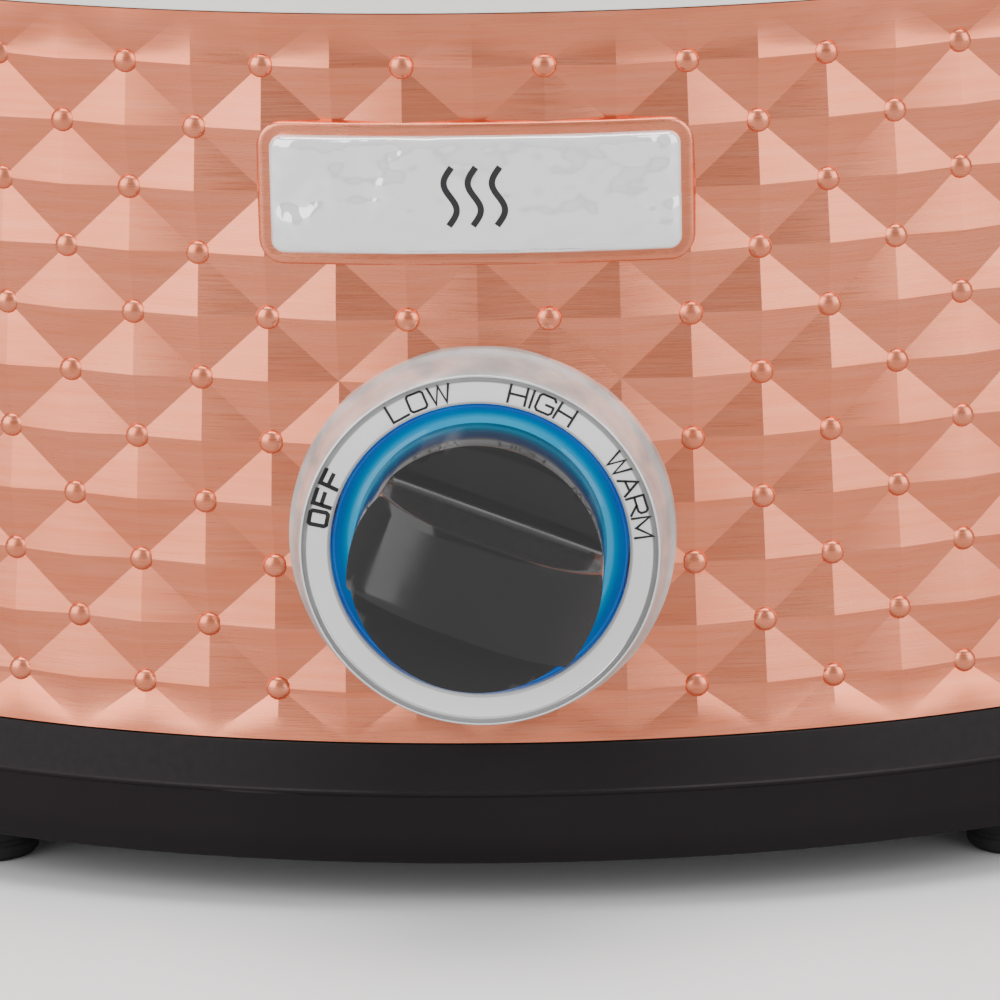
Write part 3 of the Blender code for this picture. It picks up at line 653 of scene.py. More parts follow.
# ---- The embossed wrap ----
SHEET_INPUTS = {
    "Half Length": OVAL_A, "Half Depth": OVAL_B, "Half Pitches": 2 * COLUMNS, "Row Step": ROW_STEP,
    "First Row": FIRST_ROW_Z, "Rows": ROWS, "Relief": RELIEF, "Top": WRAP_HIGH.z,
    "Bottom": WRAP_LOW.z, "Centre": CENTRE_Y, "Material": None}


def on_oval(given, half_pitch, height, rise):
    """The place over the oval at a half pitch, a height and a rise, and the way out there."""
    tree = height.tree
    circle = add(tree, "GeometryNodeCurvePrimitiveCircle", {"Resolution": 720, "Radius": 1.0})
    shaped = add(tree, "GeometryNodeTransform", {
        "Geometry": circle, "Rotation": (0, 0, math.pi / 2),
        "Scale": combine(given["Half Depth"], given["Half Length"], 1.0)})
    factor = calc("FRACT", half_pitch / given["Half Pitches"])
    sample = add(tree, "GeometryNodeSampleCurve", {"Curves": shaped, "Factor": factor},
                 mode="FACTOR", use_all_curves=True)
    along = separate(sample["Tangent"])
    outward = combine(along[1], along[0] * -1.0, 0.0)
    lift = add(tree, "ShaderNodeVectorMath", {0: outward, "Scale": rise}, operation="SCALE")
    place = vector_calc("ADD", sample["Position"], lift)
    return vector_calc("ADD", place, combine(0.0, given["Centre"], height)), outward


def dial_place(given, half_pitch, height):
    """Whether a place is on the front, how far across it is, and how far from the dial's middle."""
    x, y, _ = separate(on_oval(given, half_pitch, height, 0.0)[0])
    away = vector_calc("LENGTH", combine(x, height - DIAL_CENTRE.z, 0.0))
    return y < 0.0, x, away


def pressing(given, half_pitch, row, height):
    """How far the press reaches into the sheet, from 0 at a pyramid's peak to 1 in the grooves."""
    diagonals = [(half_pitch + row + 1.0) * 0.5, (half_pitch - row + 1.0) * 0.5]
    off = [abs(way - calc("ROUND", way)) for way in diagonals]
    pyramid = calc("MAXIMUM", *off) * 2.0
    nearest = calc("MINIMUM", given["Top"] - height, height - given["Bottom"])
    shown = moved(nearest, 0.0, 1.0, PLAIN_EDGE, FADED_EDGE)
    front, _, away = dial_place(given, half_pitch, height)
    flat = front * moved(away, 1.0, 0.0, DIAL_FLAT, DIAL_LATTICE, interpolation_type="SMOOTHSTEP")
    return pyramid * (shown * (1.0 - flat))


def finish_tree(geometry, given, result):
    """Give a tree's last geometry its material and hand it out."""
    put(add(geometry.tree, "GeometryNodeSetMaterial", {
        "Geometry": geometry, "Material": given["Material"]}), result["Geometry"])


def make_sheet_tree():
    """The sheet: a lattice of triangles laid round the oval and pressed in along its grooves. Past
    the bottom row it folds in, runs up inside and folds out again to the top."""
    tree, given, result = new_group("Embossed Sheet", "GeometryNodeTree", {
        **SHEET_INPUTS, "Wall": WRAP_WALL, "Detail": 3}, ["Geometry"])
    block = add(tree, "GeometryNodeMeshGrid", {
        "Size X": 1.0, "Size Y": 1.0, "Vertices X": 2, "Vertices Y": 2})
    split = add(tree, "GeometryNodeTriangulate", [block], quad_method="FIXED")
    rows = given["Rows"] + 4.0
    lattice = add(tree, "GeometryNodeMeshGrid", {
        "Size X": given["Half Pitches"] - 1.0, "Size Y": rows - 1.0,
        "Vertices X": given["Half Pitches"], "Vertices Y": rows})
    half_width = given["Half Pitches"] * 0.5
    half_rows = rows * 0.5

    # The diagonals of neighbouring cells cross, so that they meet in the pyramids' peaks
    spot = separate(add(tree, "GeometryNodeInputPosition"))
    column = calc("FLOOR", spot[0] + half_width)
    odd = (column + calc("FLOOR", spot[1] + half_rows)) % 2.0
    blocks = add(tree, "GeometryNodeInstanceOnPoints", {
        "Points": lattice, "Instance": split, "Rotation": combine(0.0, 0.0, odd * (math.pi / 2))})
    real = add(tree, "GeometryNodeRealizeInstances", [blocks])
    joined = add(tree, "GeometryNodeMergeByDistance", {"Geometry": real, "Distance": 0.01})
    fine = add(tree, "GeometryNodeSubdivideMesh", {"Mesh": joined, "Level": given["Detail"]})

    # The first and the last cell reach from the lattice to the wrap's top and bottom
    at = separate(add(tree, "GeometryNodeInputPosition"))
    half_pitch = at[0] + half_width
    row = half_rows - at[1] - 1.0
    folds = [held(row - (given["Rows"] + float(k))) for k in range(3)]
    last = given["Rows"] - 1.0
    whole = held(row, 0.0, last)
    above = calc("MAXIMUM", row * -1.0, 0.0)
    below = held(row - last)
    last_height = given["First Row"] - last * given["Row Step"]
    height = given["First Row"] - whole * given["Row Step"]
    height = height + above * (given["Top"] - given["First Row"])
    height = height - below * (last_height - given["Bottom"])
    height = height + folds[1] * (given["Top"] - given["Bottom"])

    wall = (folds[0] - folds[2]) * given["Wall"]
    pressed = pressing(given, half_pitch, row, height) * (1.0 - folds[0])
    depth = wall + pressed * given["Relief"]
    place, _ = on_oval(given, half_pitch, height, depth * -1.0)
    pitch = GIRTH / given["Half Pitches"]
    mapped = add(tree, "GeometryNodeStoreNamedAttribute", {
        "Geometry": fine, "Name": "unrolled", "Value": combine(half_pitch * pitch, height, 0.0)},
        data_type="FLOAT2", domain="CORNER")
    wrapped = add(tree, "GeometryNodeSetPosition", {"Geometry": mapped, "Position": place})
    sealed = add(tree, "GeometryNodeMergeByDistance", {"Geometry": wrapped, "Distance": 0.00001})
    finish_tree(sealed, given, result)
    return tree


def make_stud_tree():
    """Domed studs where the grooves of the sheet cross, except under the badge and the dial."""
    tree, given, result = new_group("Wrap Studs", "GeometryNodeTree", {
        **SHEET_INPUTS, "Stud Radius": STUD_RADIUS, "Stud Height": STUD_HEIGHT}, ["Geometry"])
    across, down = given["Half Pitches"] - 1.0, given["Rows"] - 1.0
    lattice = add(tree, "GeometryNodeMeshGrid", {
        "Size X": across, "Size Y": down,
        "Vertices X": given["Half Pitches"], "Vertices Y": given["Rows"]})
    at = separate(add(tree, "GeometryNodeInputPosition"))
    half_pitch = calc("ROUND", at[0] + across * 0.5)
    row = calc("ROUND", at[1] + down * 0.5)
    height = given["First Row"] - row * given["Row Step"]
    front, x, away = dial_place(given, half_pitch, height)
    on_badge = (abs(x) < STUD_CLEAR[0]) * (abs(height - BADGE_Z) < STUD_CLEAR[1])
    covered = front * calc("MAXIMUM", away < DIAL_STUDS, on_badge)
    bare = calc("MAXIMUM", covered, (half_pitch + row) % 2.0)
    depth = pressing(given, half_pitch, row, height) * given["Relief"] - STUD_LIFT
    place, outward = on_oval(given, half_pitch, height, depth * -1.0)
    points = add(tree, "GeometryNodeMeshToPoints", {
        "Mesh": lattice, "Selection": bare < 0.5, "Position": place, "Radius": 0.001})
    kept = add(tree, "GeometryNodeStoreNamedAttribute", {
        "Geometry": points, "Name": "outward", "Value": outward},
        data_type="FLOAT_VECTOR", domain="POINT")
    dome = add(tree, "GeometryNodeMeshUVSphere", {"Segments": 16, "Rings": 10, "Radius": 1.0})
    shaped = add(tree, "GeometryNodeTransform", {
        "Geometry": dome,
        "Scale": combine(given["Stud Radius"], given["Stud Radius"], given["Stud Height"])})
    way = add(tree, "GeometryNodeInputNamedAttribute", {"Name": "outward"}, "Attribute",
              data_type="FLOAT_VECTOR")
    facing = add(tree, "FunctionNodeAlignRotationToVector", {"Vector": way}, axis="Z")
    studs = add(tree, "GeometryNodeInstanceOnPoints", {
        "Points": kept, "Instance": shaped, "Rotation": facing})
    finish_tree(add(tree, "GeometryNodeRealizeInstances", [studs]), given, result)
    return tree


def settle(obj):
    """Turn a piece's modifiers into its plain mesh."""
    evaluated = obj.evaluated_get(bpy.context.evaluated_depsgraph_get())
    mesh = bpy.data.meshes.new_from_object(evaluated)
    obj.modifiers.clear()
    obj.data = mesh
    mesh.name = obj.name


def grown(name, tree, material):
    """A plain mesh piece from a Geometry Nodes tree."""
    obj = new_object(name, bpy.data.meshes.new(name))
    modifier = obj.modifiers.new("Grow", "NODES")
    modifier.node_group = tree
    modifier[tree.interface.items_tree["Material"].identifier] = material
    settle(obj)
    return obj


def make_wrap():
    """The embossed sheet, its studs and the smooth surround of the badge."""
    sheet = grown("embossed_wrap", make_sheet_tree(), COPPER_SHEET)
    finish_piece(sheet, "housing", ["outer_wrap"], 6.0)
    studs = grown("wrap_studs", make_stud_tree(), COPPER_STUD)
    finish_piece(studs, "housing", sharp=80.0)
    surround = front_plate("badge_surround", SURROUND_SIZE, 0.0040, [
        (-0.0004, -0.0018), (-0.0002, -0.0005), (0.0000, -0.0001), (0.0004, 0.0001),
        (0.0010, 0.0000), (SURROUND_SIZE[1] / 2, 0.0000)], COPPER_BORDER)
    finish_piece(surround, "housing")


# ---- Badge and dial ----
BADGE_RIM_RISE = 0.0018
BADGE_PILLOW = 0.0004
BADGE_RIM = 0.0009
WISP_SPACING = 0.0042
WISP_HEIGHT = 0.0095
WISP_SWAY = 0.0011
WISP_WIDTH = 0.0011


def raise_print(bm, height_at, proud, sunk):
    """Stand printed strokes proud of the surface that height_at gives, with their feet sunk in it."""
    for vert in bm.verts:
        x, y, level = vert.co
        vert.co = height_at(x, y, proud if level > 0.5 else -sunk)


def make_badge():
    """The plain chrome badge, pillowed, with a row of three printed wisps of steam."""
    half = BADGE_SIZE[1] / 2
    profile = [(0.0, -0.0008), (0.0, 0.0010), (0.0001, 0.0013), (0.0004, 0.0016),
               (BADGE_RIM, BADGE_RIM_RISE)]
    for i in range(1, 9):
        swell = BADGE_PILLOW * math.sin(math.pi / 2 * i / 8)
        profile.append((BADGE_RIM + (half - BADGE_RIM) * i / 8, BADGE_RIM_RISE + swell))
    badge = front_plate("badge", BADGE_SIZE, 0.0022, profile, BADGE_CHROME, 48)
    finish_piece(badge, "housing", ["badge_plate"], 60.0)
    bm = bmesh.new()
    for across in (-WISP_SPACING, 0.0, WISP_SPACING):
        wisp = []
        for i in range(25):
            sway = WISP_SWAY * math.sin(2 * math.pi * i / 24)
            wisp.append((BADGE_X + across + sway, BADGE_Z + WISP_HEIGHT * (i / 24 - 0.5)))
        ribbon(bm, wisp, WISP_WIDTH)

    def on_badge(x, z, rise):
        """A point over the pillowed badge."""
        off = min(1.0, abs(z - BADGE_Z) / half)
        return on_front(x, z, BADGE_RIM_RISE + BADGE_PILLOW * math.cos(math.pi / 2 * off) + rise)

    raise_print(bm, on_badge, 0.00005, 0.0008)
    finish_piece(mesh_object("badge_wisps", bm, INK), "housing")


def face_height(radius):
    """The height of the bezel's face over the dial's plane: flat, then rising to the lip."""
    share = (radius - FACE_FLAT_END) / (FACE_LIP - FACE_FLAT_END)
    return BEZEL_FRONT - 0.0006 + 0.0004 * min(1.0, max(0.0, share)) ** 1.5


def make_bezel():
    """The chrome dial bezel: a sloping flank, a thin lip and a dished face round the opening."""
    radii = [FACE_FLAT_END + (FACE_LIP - FACE_FLAT_END) * i / 9 for i in range(10)]
    flat = face_height(0.0)
    bezel = turned("dial_bezel_chrome", [
        (FACE_OPENING, -0.0020, 0), (FACE_OPENING, flat - 0.0004, 0.0003),
        (FACE_OPENING + 0.0005, flat, 0.0003),
        *[(radius, face_height(radius), 0) for radius in radii],
        (0.0312, BEZEL_FRONT, 0.0001), (0.0315, BEZEL_FRONT, 0.0002),
        (0.0319, BEZEL_FRONT - 0.0012, 0.0006), (0.0330, 0.0022, 0.0040),
        (0.0340, 0.0008, 0.0006), (0.0340, -0.0044, 0)], BEZEL_CHROME, 160, True, placed=DIAL)
    finish_piece(bezel, "housing", ["dial_bezel"], 50.0)


def make_light_ring():
    """The blue ring: a glossy trough between the opening and the knob."""
    ring = turned("light_ring_lens", [
        (0.0259, 0.0022, 0), (0.0259, 0.0090, 0.0003), (0.0253, 0.0091, 0.0003),
        (0.0247, 0.0070, 0.0014), (0.0232, 0.0062, 0.0010), (0.0218, 0.0069, 0.0008),
        (0.0208, 0.0062, 0.0004), (0.0140, 0.0056, 0), (0.0140, 0.0022, 0)], BLUE_LIGHT, 128, True,
        placed=DIAL)
    finish_piece(ring, "housing", ["light_ring"], 60.0)


# Strokes of the dial's letters, on a width of 1 and a height of 1
LETTERS = {
    "O": [[(0.12, 0), (0.88, 0), (1, 0.12), (1, 0.88), (0.88, 1), (0.12, 1), (0, 0.88), (0, 0.12),
           (0.12, 0)]],
    "F": [[(0, 0), (0, 1), (1, 1)], [(0, 0.52), (0.85, 0.52)]],
    "L": [[(0, 1), (0, 0), (1, 0)]],
    "W": [[(0, 1), (0.25, 0), (0.5, 1), (0.75, 0), (1, 1)]],
    "H": [[(0, 0), (0, 1)], [(1, 0), (1, 1)], [(0, 0.5), (1, 0.5)]],
    "I": [[(0.5, 0), (0.5, 1)]],
    "G": [[(1, 0.85), (0.86, 1), (0.14, 1), (0, 0.86), (0, 0.14), (0.14, 0), (0.86, 0), (1, 0.14),
           (1, 0.48), (0.55, 0.48)]],
    "A": [[(0, 0), (0.5, 1), (1, 0)], [(0.2, 0.36), (0.8, 0.36)]],
    "R": [[(0, 0), (0, 1), (0.86, 1), (1, 0.88), (1, 0.58), (0.86, 0.46), (0, 0.46)],
          [(0.5, 0.46), (1, 0)]],
    "M": [[(0, 0), (0, 1), (0.5, 0.15), (1, 1), (1, 0)]],
}
LETTER_WIDTHS = {"I": 0.15, "W": 1.25, "M": 1.15}


def ribbon(bm, points, width):
    """A flat stroke along points, from a height of 0 to a height of 1."""
    count = len(points)
    closed = points[0] == points[-1]
    sides = []
    for i, (x, y) in enumerate(points):
        here = Vector((x, y))
        before = Vector(points[i - 1]) if i else (Vector(points[-2]) if closed else None)
        after = Vector(points[i + 1]) if i < count - 1 else (Vector(points[1]) if closed else None)
        ways = [w.normalized() for w in (here - before if before else None,
                                         after - here if after else None) if w is not None]
        normals = [Vector((-w.y, w.x)) for w in ways]
        normal = sum(normals, Vector((0, 0))).normalized()
        half = width / 2 / max(normal.dot(normals[0]), 0.45)
        end = Vector((0, 0))
        if len(ways) == 1:
            end = ways[0] * (width / 2 if before else -width / 2)
        sides.append((here + end + normal * half, here + end - normal * half))
    rows = [[bm.verts.new((p.x, p.y, h)) for p, h in ((a, 0), (a, 1), (b, 1), (b, 0))]
            for a, b in sides]
    for first, second in zip(rows, rows[1:]):
        for j in range(4):
            k = (j + 1) % 4
            bm.faces.new((first[j], first[k], second[k], second[j]))
    bm.faces.new(rows[0])
    bm.faces.new(rows[-1])


WORD_HEIGHT = 0.0031
WORD_RADIUS = 0.0287
# Each setting's word, its angle in degrees, and its letters' stroke, spacing and width
WORDS = [("OFF", 160.5, 0.00072, 0.0012, 0.80), ("LOW", 110.5, 0.00042, 0.0008, 0.98),
         ("HIGH", 66.5, 0.00042, 0.0008, 0.98), ("WARM", 20, 0.00042, 0.0008, 0.98)]


def make_dial_words():
    """The four settings, printed round the bezel's face with their tops outwards."""
    bm = bmesh.new()
    for word, angle, weight, gap, wide in WORDS:
        widths = [WORD_HEIGHT * wide * LETTER_WIDTHS.get(letter, 1.0) for letter in word]
        start = -(sum(widths) + gap * (len(word) - 1)) / 2
        for letter, width in zip(word, widths):
            bend = math.radians(angle) - (start + width / 2) / WORD_RADIUS
            turn = Matrix.Rotation(bend - math.pi / 2, 2)
            base = turn @ Vector((0, WORD_RADIUS - WORD_HEIGHT / 2))
            for stroke in LETTERS[letter]:
                ribbon(bm, [tuple(base + turn @ Vector(((x - 0.5) * width, y * WORD_HEIGHT)))
                            for x, y in stroke], weight)
            start += width + gap

    def on_face(x, y, rise):
        """A point over the bezel's face."""
        return DIAL @ Vector((x, y, face_height(math.hypot(x, y)) + rise))

    raise_print(bm, on_face, 0.00007, 0.0006)
    finish_piece(mesh_object("dial_words", bm, INK), "housing")


def make_knob():
    """The glossy black knob: a drum whose grip bar has scooped sides and a domed front."""
    rows = []
    steps = 56
    for i in range(steps + 1):
        along = -KNOB_RADIUS * math.cos(math.pi * i / steps)
        half = math.sqrt(max(0.0, KNOB_RADIUS ** 2 - along ** 2))
        front = KNOB_FRONT - KNOB_FALL * abs(along / KNOB_RADIUS) ** 3
        start = math.asin((KNOB_FRONT - front) / (KNOB_FRONT - KNOB_FLOOR))
        side = []
        for k in range(9):
            angle = start + (math.pi / 2 - start) * k / 8
            side.append((GRIP_FOOT - (GRIP_FOOT - GRIP_TOP) * math.cos(angle),
                         KNOB_FRONT - (KNOB_FRONT - KNOB_FLOOR) * math.sin(angle)))
        ridge = side[0][0]
        side = [(ridge * k / 5, front) for k in range(5)] + side
        side += [(GRIP_FOOT + (KNOB_RADIUS - GRIP_FOOT) * k / 4, KNOB_FLOOR) for k in range(1, 5)]
        clipped = []
        for (across, height), (before, low) in zip(side, side[:1] + side):
            if across > half and across > before:
                share = max(0.0, (half - before) / (across - before))
                height = low + (height - low) * share if before < half else clipped[-1][1]
            clipped.append((min(across, half), height))
        clipped += [(half, KNOB_FLOOR / 2), (half, KNOB_FOOT)]
        rows.append([(along, -across, height) for across, height in clipped[::-1]]
                    + [(along, across, height) for across, height in clipped[1:]])
    placed = DIAL @ Matrix.Rotation(OFF_ANGLE, 4, "Z")
    knob = loft("grip_knob", rows, GLOSS_BLACK, placed=placed)
    bevel = knob.modifiers.new("Round edges", "BEVEL")
    bevel.width = 0.00028
    bevel.segments = 2
    bevel.limit_method = "ANGLE"
    bevel.angle_limit = math.radians(32.0)
    settle(knob)
    finish_piece(knob, "knob", ["control_knob"])


# ---- Base, feet, gland and handles ----
def make_base():
    """The black base skirt with its thin ridge, and the four feet."""
    bottom, top = (corner.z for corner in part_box("base_skirt"))
    skirt_top = WRAP_LOW.z - 0.0003
    skirt = oval("base_skirt_moulding", [
        (-0.0019, top, 0.0005), (-0.0019, skirt_top, 0.0002), (0.0003, skirt_top, 0.0003),
        (0.0022, 0.0250, 0.003), (0.0027, 0.0234, 0.0002), (0.0031, 0.0231, 0.00015),
        (0.0031, 0.0227, 0.00015), (0.0026, 0.0222, 0.0002), (0.0022, 0.0130, 0.010),
        (0.0003, bottom, 0.0012), (-0.0280, bottom, 0.0005), (-0.0280, 0.0117, 0.0003),
        (-0.0050, 0.0117, 0.001), (-0.0038, 0.0150, 0.001), (-0.0038, top, 0.0005)],
        BASE_BLACK, True)
    finish_piece(skirt, "housing", ["base_skirt"], 50.0)
    for corner in ("front_left", "front_right", "rear_left", "rear_right"):
        name = "foot_" + corner
        low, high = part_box(name)
        radius = (high.x - low.x) / 2
        x, y, _ = middle_of(name)
        spot = Matrix.Translation((x, y, 0))
        foot = turned(name + "_pad", [
            (radius, high.z, 0.0004), (radius - 0.0010, 0.0072, 0.0008),
            (radius - 0.0016, 0.0040, 0.0003), (radius - 0.0021, 0.0036, 0.0002),
            (radius - 0.0021, 0.0030, 0.0002), (radius - 0.0016, 0.0026, 0.0003),
            (radius - 0.0018, 0.0008, 0.0005), (radius - 0.0026, 0.0, 0.0004),
            (0.0044, 0.0, 0.0003), (0.0044, 0.0042, 0.0002), (0.0021, 0.0042, 0.0002),
            (0.0021, high.z, 0)], RUBBER, 48, True, placed=spot)
        finish_piece(foot, "housing", [name], 50.0)


def make_gland():
    """The open rubber gland at the rear."""
    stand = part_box("cord_gland")[1].y - WRAP_HIGH.y
    x, _, z = middle_of("cord_gland")
    turn = Matrix.Rotation(-math.pi / 2, 4, "X")
    placed = Matrix.Translation((x, WRAP_HIGH.y, z)) @ turn
    gland = turned("cord_gland_bush", [
        (0.0038, stand, 0.0003), (0.0064, stand, 0.0006), (0.0074, 0.0032, 0.0008),
        (0.0092, 0.0025, 0.0005), (0.0092, 0.0003, 0), (0.0060, -0.0019, 0), (0.0074, -0.0019, 0.0003),
        (0.0066, -0.0036, 0.0003), (0.0038, -0.0036, 0.0002)], RUBBER, 64, True, placed=placed)
    finish_piece(gland, "housing", ["cord_gland"], 50.0)


def handle_path(reach, half, corner, side):
    """The middle line of a side handle, from the wrap round to the wrap."""
    root = OVAL_A * math.sqrt(1 - (half / OVAL_B) ** 2) - 0.004
    points = [(root, -half)]
    points += arc_points((reach - corner, -half + corner), corner, -90, 0, 14)
    points += arc_points((reach - corner, half - corner), corner, 0, 90, 14)
    points += [(root, half)]
    dense = [points[0]]
    for (x0, y0), (x1, y1) in zip(points, points[1:]):
        steps = max(1, round(math.hypot(x1 - x0, y1 - y0) / 0.004))
        dense += [(x0 + (x1 - x0) * k / steps, y0 + (y1 - y0) * k / steps)
                  for k in range(1, steps + 1)]
    return [Vector((side * x, y, 0)) for x, y in dense]


def make_handles():
    """The two side handles: one rounded section swept along a bow."""
    half_thick = 0.0066
    squareness = 0.62
    for name, side in (("handle_left", -1), ("handle_right", 1)):
        low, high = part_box(name)
        reach = max(abs(low.x), abs(high.x))
        half_width = (high.y - low.y) / 2
        middle_z = middle_of(name)[2]
        half_height = (high.z - low.z) / 2
        path = handle_path(reach - half_thick, half_width - half_thick - 0.0003, 0.0180, side)
        rows = []
        count = len(path)
        for i, point in enumerate(path):
            way = (path[min(i + 1, count - 1)] - path[max(i - 1, 0)]).normalized()
            across = Vector((way.y, -way.x, 0))
            from_end = min(i, count - 1 - i) / 6
            swell = 1 - 0.06 * min(1.0, from_end) ** 2
            row = []
            for k in range(40):
                angle = 2 * math.pi * k / 40
                cos, sin = math.cos(angle), math.sin(angle)
                u = math.copysign(abs(cos) ** squareness, cos) * half_thick
                v = math.copysign(abs(sin) ** squareness, sin) * half_height * swell
                row.append(point + across * u + Vector((0, CENTRE_Y, middle_z + v)))
            rows.append(row)
        handle = loft(name + "_grip", rows, GLOSS_BLACK)
        bm = bmesh.new()
        bm.from_mesh(handle.data)
        bmesh.ops.holes_fill(bm, edges=[e for e in bm.edges if e.is_boundary])
        bmesh.ops.recalc_face_normals(bm, faces=bm.faces)
        bm.to_mesh(handle.data)
        bm.free()
        finish_piece(handle, "housing", [name], 50.0)


# ---- Well, crock and lid ----
def make_well():
    """The heating well with its flange."""
    flange_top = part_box("heating_liner")[1].z
    floor = 0.0285
    lip = WRAP_HIGH.z + 0.0003
    well = oval("heating_well", [
        (None, floor, 0), (-0.0264, floor, 0.006), (-0.0201, 0.0345, 0.004),
        (-0.0176, 0.1580, 0.010), (-0.0155, flange_top, 0.0012), (-0.0004, flange_top, 0.0003),
        (-0.0004, lip, 0.0002), (-0.0145, lip, 0.0010), (-0.0166, 0.1580, 0.010),
        (-0.0190, 0.0340, 0.004), (-0.0260, floor - 0.0010, 0.006), (None, floor - 0.0010, 0)],
        ALUMINISED)
    finish_piece(well, "housing", ["heating_liner"], 50.0)


LUG_REACH = 0.0132
LUG_HALF_WIDTH = 0.036
LUG_HEIGHTS = (0.1640, 0.1715)


def lug_reach(angle):
    """How far the crock's rim stands out as a lug at an angle round the oval."""
    across = abs(math.sin(angle)) * OVAL_B / LUG_HALF_WIDTH
    return 0.0 if across >= 1 else LUG_REACH * (1 - across ** 2.6) ** 0.75


def make_crock():
    """The ivory crock: its rim runs out into two lugs at the ends."""
    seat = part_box("heating_liner")[1].z + 0.0003
    rim_foot = WRAP_HIGH.z + 0.0002
    profile = rounded(off_wrap([
        (None, 0.0370, 0), (-0.0390, 0.0370, 0.010), (-0.0318, 0.0400, 0.008),
        (-0.0305, 0.0480, 0.010), (-0.0262, 0.1580, 0.012), (-0.0205, 0.1700, 0.0015),
        (-0.0128, 0.1700, 0.0012), (-0.0112, 0.1745, 0.0018), (-0.0075, 0.1750, 0.003),
        (-0.0010, 0.1750, 0.0042), (0.0005, 0.1700, 0.003), (0.0005, rim_foot, 0.0004),
        (-0.0001, rim_foot, 0.0001), (-0.0001, seat, 0.0001), (-0.0170, seat, 0.0006),
        (-0.0192, 0.1600, 0.004), (-0.0240, 0.0430, 0.010), (-0.0275, 0.0330, 0.006),
        (-0.0345, 0.0305, 0.004), (None, 0.0305, 0)]))
    rows = []
    for radius, height in profile:
        on_lug = radius >= OVAL_B and LUG_HEIGHTS[0] <= height <= LUG_HEIGHTS[1]
        outer = (radius - (OVAL_B - 0.0040)) / 0.0045
        lug_share = min(1.0, outer) if on_lug else 0.0
        row = []
        for i in range(OVAL_STEPS):
            angle = 2 * math.pi * i / OVAL_STEPS
            x = radius * STRETCH * math.cos(angle)
            x += math.copysign(lug_reach(angle) * lug_share, math.cos(angle))
            row.append((x, radius * math.sin(angle), height))
        rows.append(row)
    crock = loft("stoneware_crock", rows, GLAZE, placed=CENTRE)
    finish_piece(crock, "crock", ["crock"], 60.0)


def dome_height(radius):
    """The underside of the lid's glass at a radius along the short axis."""
    return GLASS_LOW.z + GLASS_RISE * (1 - (radius / GLASS_RADIUS) ** GLASS_BEND)


def make_lid():
    """The domed glass, its steel rim, the vent and the knob."""
    rings = [GLASS_RADIUS * i / 24 for i in range(24)]
    top = [(r, dome_height(r) + GLASS_THICK, 0) for r in rings[1:]]
    under = [(r, dome_height(r), 0) for r in rings[1:]]
    hole = 0.0028
    edge = [(GLASS_RADIUS - 0.0003, GLASS_LOW.z + GLASS_THICK, 0.0008),
            (GLASS_RADIUS - 0.0003, GLASS_LOW.z, 0.0008)]
    corners = [(hole, dome_height(hole) + GLASS_THICK, 0)] + top + edge + under[::-1] + [
        (hole, dome_height(hole), 0)]
    glass = turned("lid_dome", corners, GLASS, OVAL_STEPS, True, STRETCH)
    finish_piece(glass, "lid", ["lid_glass"], 50.0)
    leg_radius = GLASS_RADIUS - 0.0042
    leg = leg_radius - OVAL_B
    leg_z = dome_height(leg_radius) + GLASS_THICK + 0.0002
    wall = GLASS_RADIUS + 0.0002 - OVAL_B
    sheet = 0.0007
    below = GLASS_LOW.z - 0.0003
    above = GLASS_LOW.z + GLASS_THICK + 0.0004
    rim = oval("lid_rim_band", [
        (leg, leg_z, 0), (leg, leg_z + sheet, 0.0003), (wall, above + sheet, 0.0009),
        (wall + sheet, above - 0.0004, 0.0009), (wall + sheet, below - sheet, 0.0006),
        (leg, below - sheet, 0.0003), (leg, below, 0), (wall, below, 0), (wall, above, 0)],
        CHROME, True)
    finish_piece(rim, "lid", ["lid_rim"], 50.0)
    x = middle_of("steam_vent")[0]
    slope = GLASS_BEND * (x / STRETCH / GLASS_RADIUS) ** (GLASS_BEND - 1)
    tilt = Matrix.Rotation(math.atan(GLASS_RISE * slope / (GLASS_RADIUS * STRETCH)), 4, "Y")
    placed = Matrix.Translation((x, CENTRE_Y, dome_height(x / STRETCH) + GLASS_THICK)) @ tilt
    vent = turned("vent_eyelet", [
        (0.0018, 0.0012, 0.0004), (0.0036, 0.0013, 0.0005), (0.0050, 0.0007, 0.0003),
        (0.0050, -0.0001, 0), (0.0029, -0.0001, 0), (0.0029, -0.0051, 0.0003),
        (0.0018, -0.0051, 0.0003)], CHROME, 48, True, placed=placed)
    finish_piece(vent, "lid", ["steam_vent"], 50.0)
    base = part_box("lid_knob")[0].z
    knob = turned("lid_knob_grip", [
        (0.0, base + 0.0268, 0), (0.0110, base + 0.0266, 0.010), (0.0190, base + 0.0246, 0.006),
        (0.0225, base + 0.0200, 0.003), (0.0218, base + 0.0168, 0.002),
        (0.0150, base + 0.0130, 0.006), (0.0124, base + 0.0075, 0.008),
        (0.0145, base + 0.0026, 0.003), (0.0160, base, 0.0006), (0.0024, base, 0.0003),
        (0.0024, base + 0.0100, 0), (0.0, base + 0.0100, 0)], GLOSS_BLACK, 96)
    finish_piece(knob, "lid", ["lid_knob"], 50.0)


# ---- CAD pieces that keep their shape ----
BY_SLOT = {"steel": STEEL, "phenolic": PHENOLIC, "wire_sleeve": SLEEVE,
           "aluminised_steel": ALUMINISED, "circuit_board": BOARD, "silicone": SILICONE}


def paint_frame():
    """Give the pieces that keep their own shape their finishes."""
    for row in frame["record"]["subparts"]:
        material = BY_SLOT.get(row["material_slot"])
        if material is not None:
            materials = frame["nodes"][row["node"]].data.materials
            materials.clear()
            materials.append(material)


# ---- Camera, floor and light ----
CAMERA_DISTANCE = 1.454
FOCAL_LENGTH = 298.6


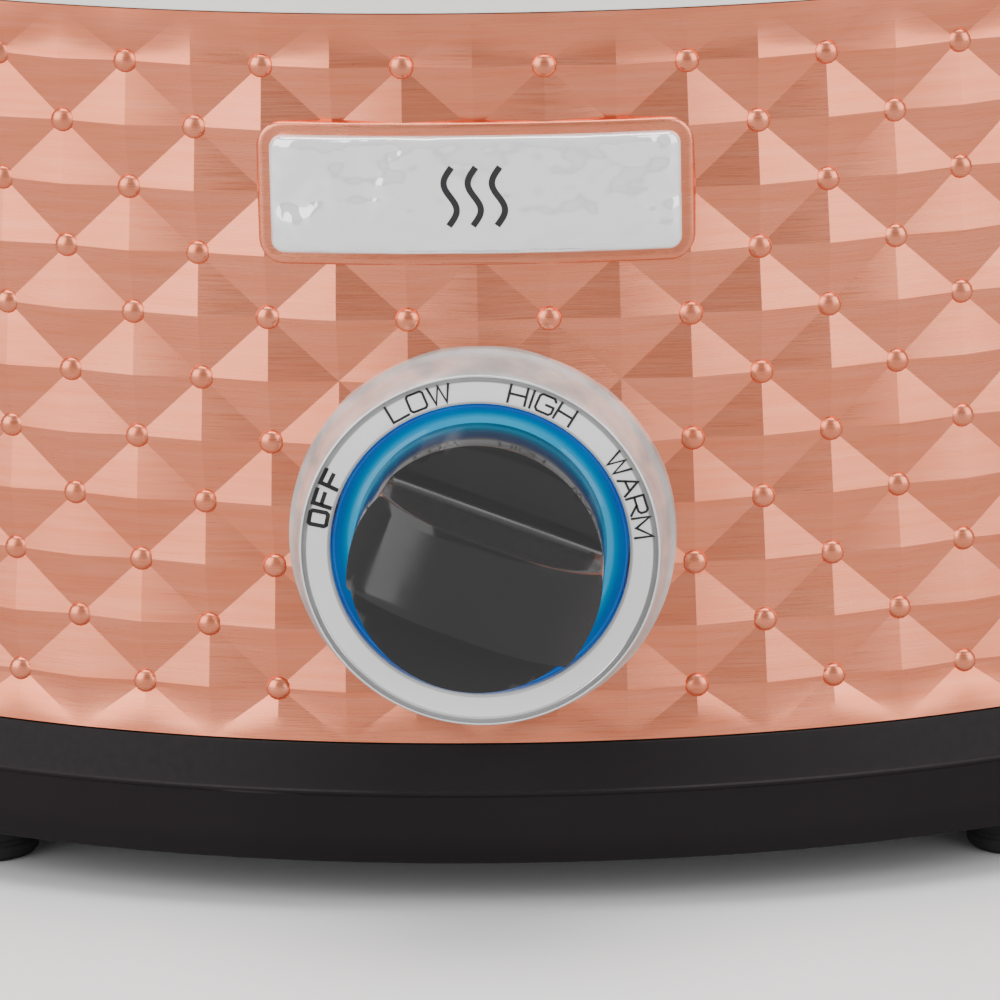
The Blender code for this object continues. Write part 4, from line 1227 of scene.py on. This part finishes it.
def make_camera():
    """The camera looks down a little at the dial and the badge."""
    azimuth, elevation, roll = math.radians(2.898), math.radians(14.411), math.radians(-1.26)
    target = Vector((0.0032, WRAP_LOW.y, 0.0758))
    back = Vector((math.sin(azimuth) * math.cos(elevation),
                   -math.cos(azimuth) * math.cos(elevation), math.sin(elevation)))
    level = Vector((0, 0, 1)).cross(back).normalized()
    up = back.cross(level)
    right = level * math.cos(roll) + up * math.sin(roll)
    turned_up = up * math.cos(roll) - level * math.sin(roll)
    camera = new_object("camera", bpy.data.cameras.new("camera"))
    camera.matrix_world = Matrix.Translation(target + back * CAMERA_DISTANCE) @ Matrix(
        (right, turned_up, back)).transposed().to_4x4()
    camera.data.sensor_width = 36
    camera.data.lens = FOCAL_LENGTH
    camera.data.clip_start = 0.05
    camera.data.clip_end = 60
    bpy.context.scene.camera = camera


# Each soft light's name, place, size and power
LIGHTS = [("left_light", (-1.30, -1.10, 0.72), (1.7, 1.5), 25),
          ("right_light", (1.35, -1.05, 0.72), (1.6, 1.5), 21),
          ("top_light", (0.0, -0.1, 1.7), (1.6, 1.3), 34)]
LIGHT_AIM = Vector((0, 0, 0.09))
SURROUND_STRENGTH = 0.58


def soft_light(name, place, size, power):
    """A soft area light aimed at the cooker."""
    data = bpy.data.lights.new(name, "AREA")
    data.shape = "RECTANGLE"
    data.size, data.size_y = size
    data.energy = power
    light = new_object(name, data)
    light.location = place
    light.rotation_euler = (Vector(place) - LIGHT_AIM).to_track_quat("Z", "Y").to_euler()


def make_studio():
    """A floor that is pale to see and darker in reflections, a light surround and soft lights."""
    finish = Finish("studio_floor", (0.80, 0.80, 0.80), 0.55)
    finish.feed("Roughness", finish.mottle(0.6, 0.5, 0.62))
    # Painted shade: the floor's colour is darker in reflections than where the camera sees it.
    seen = add(finish.tree, "ShaderNodeLightPath", out="Is Camera Ray")
    finish.feed("Base Color", finish.mix(seen, (0.49, 0.49, 0.49), (0.95, 0.95, 0.95)))
    bm = bmesh.new()
    bmesh.ops.create_circle(bm, cap_ends=True, segments=96, radius=14)
    mesh = bpy.data.meshes.new("floor")
    bm.to_mesh(mesh)
    bm.free()
    mesh.materials.append(finish.material)
    new_object("floor", mesh)
    world = bpy.data.worlds.new("studio")
    bpy.context.scene.world = world
    world.use_nodes = True
    background = world.node_tree.nodes["Background"]
    background.inputs["Color"].default_value = (1.0, 1.0, 1.0, 1.0)
    background.inputs["Strength"].default_value = SURROUND_STRENGTH
    for light in LIGHTS:
        soft_light(*light)


make_camera()
make_wrap()
make_badge()
make_bezel()
make_light_ring()
make_dial_words()
make_knob()
make_base()
make_gland()
make_handles()
make_well()
make_crock()
make_lid()
paint_frame()
make_studio()
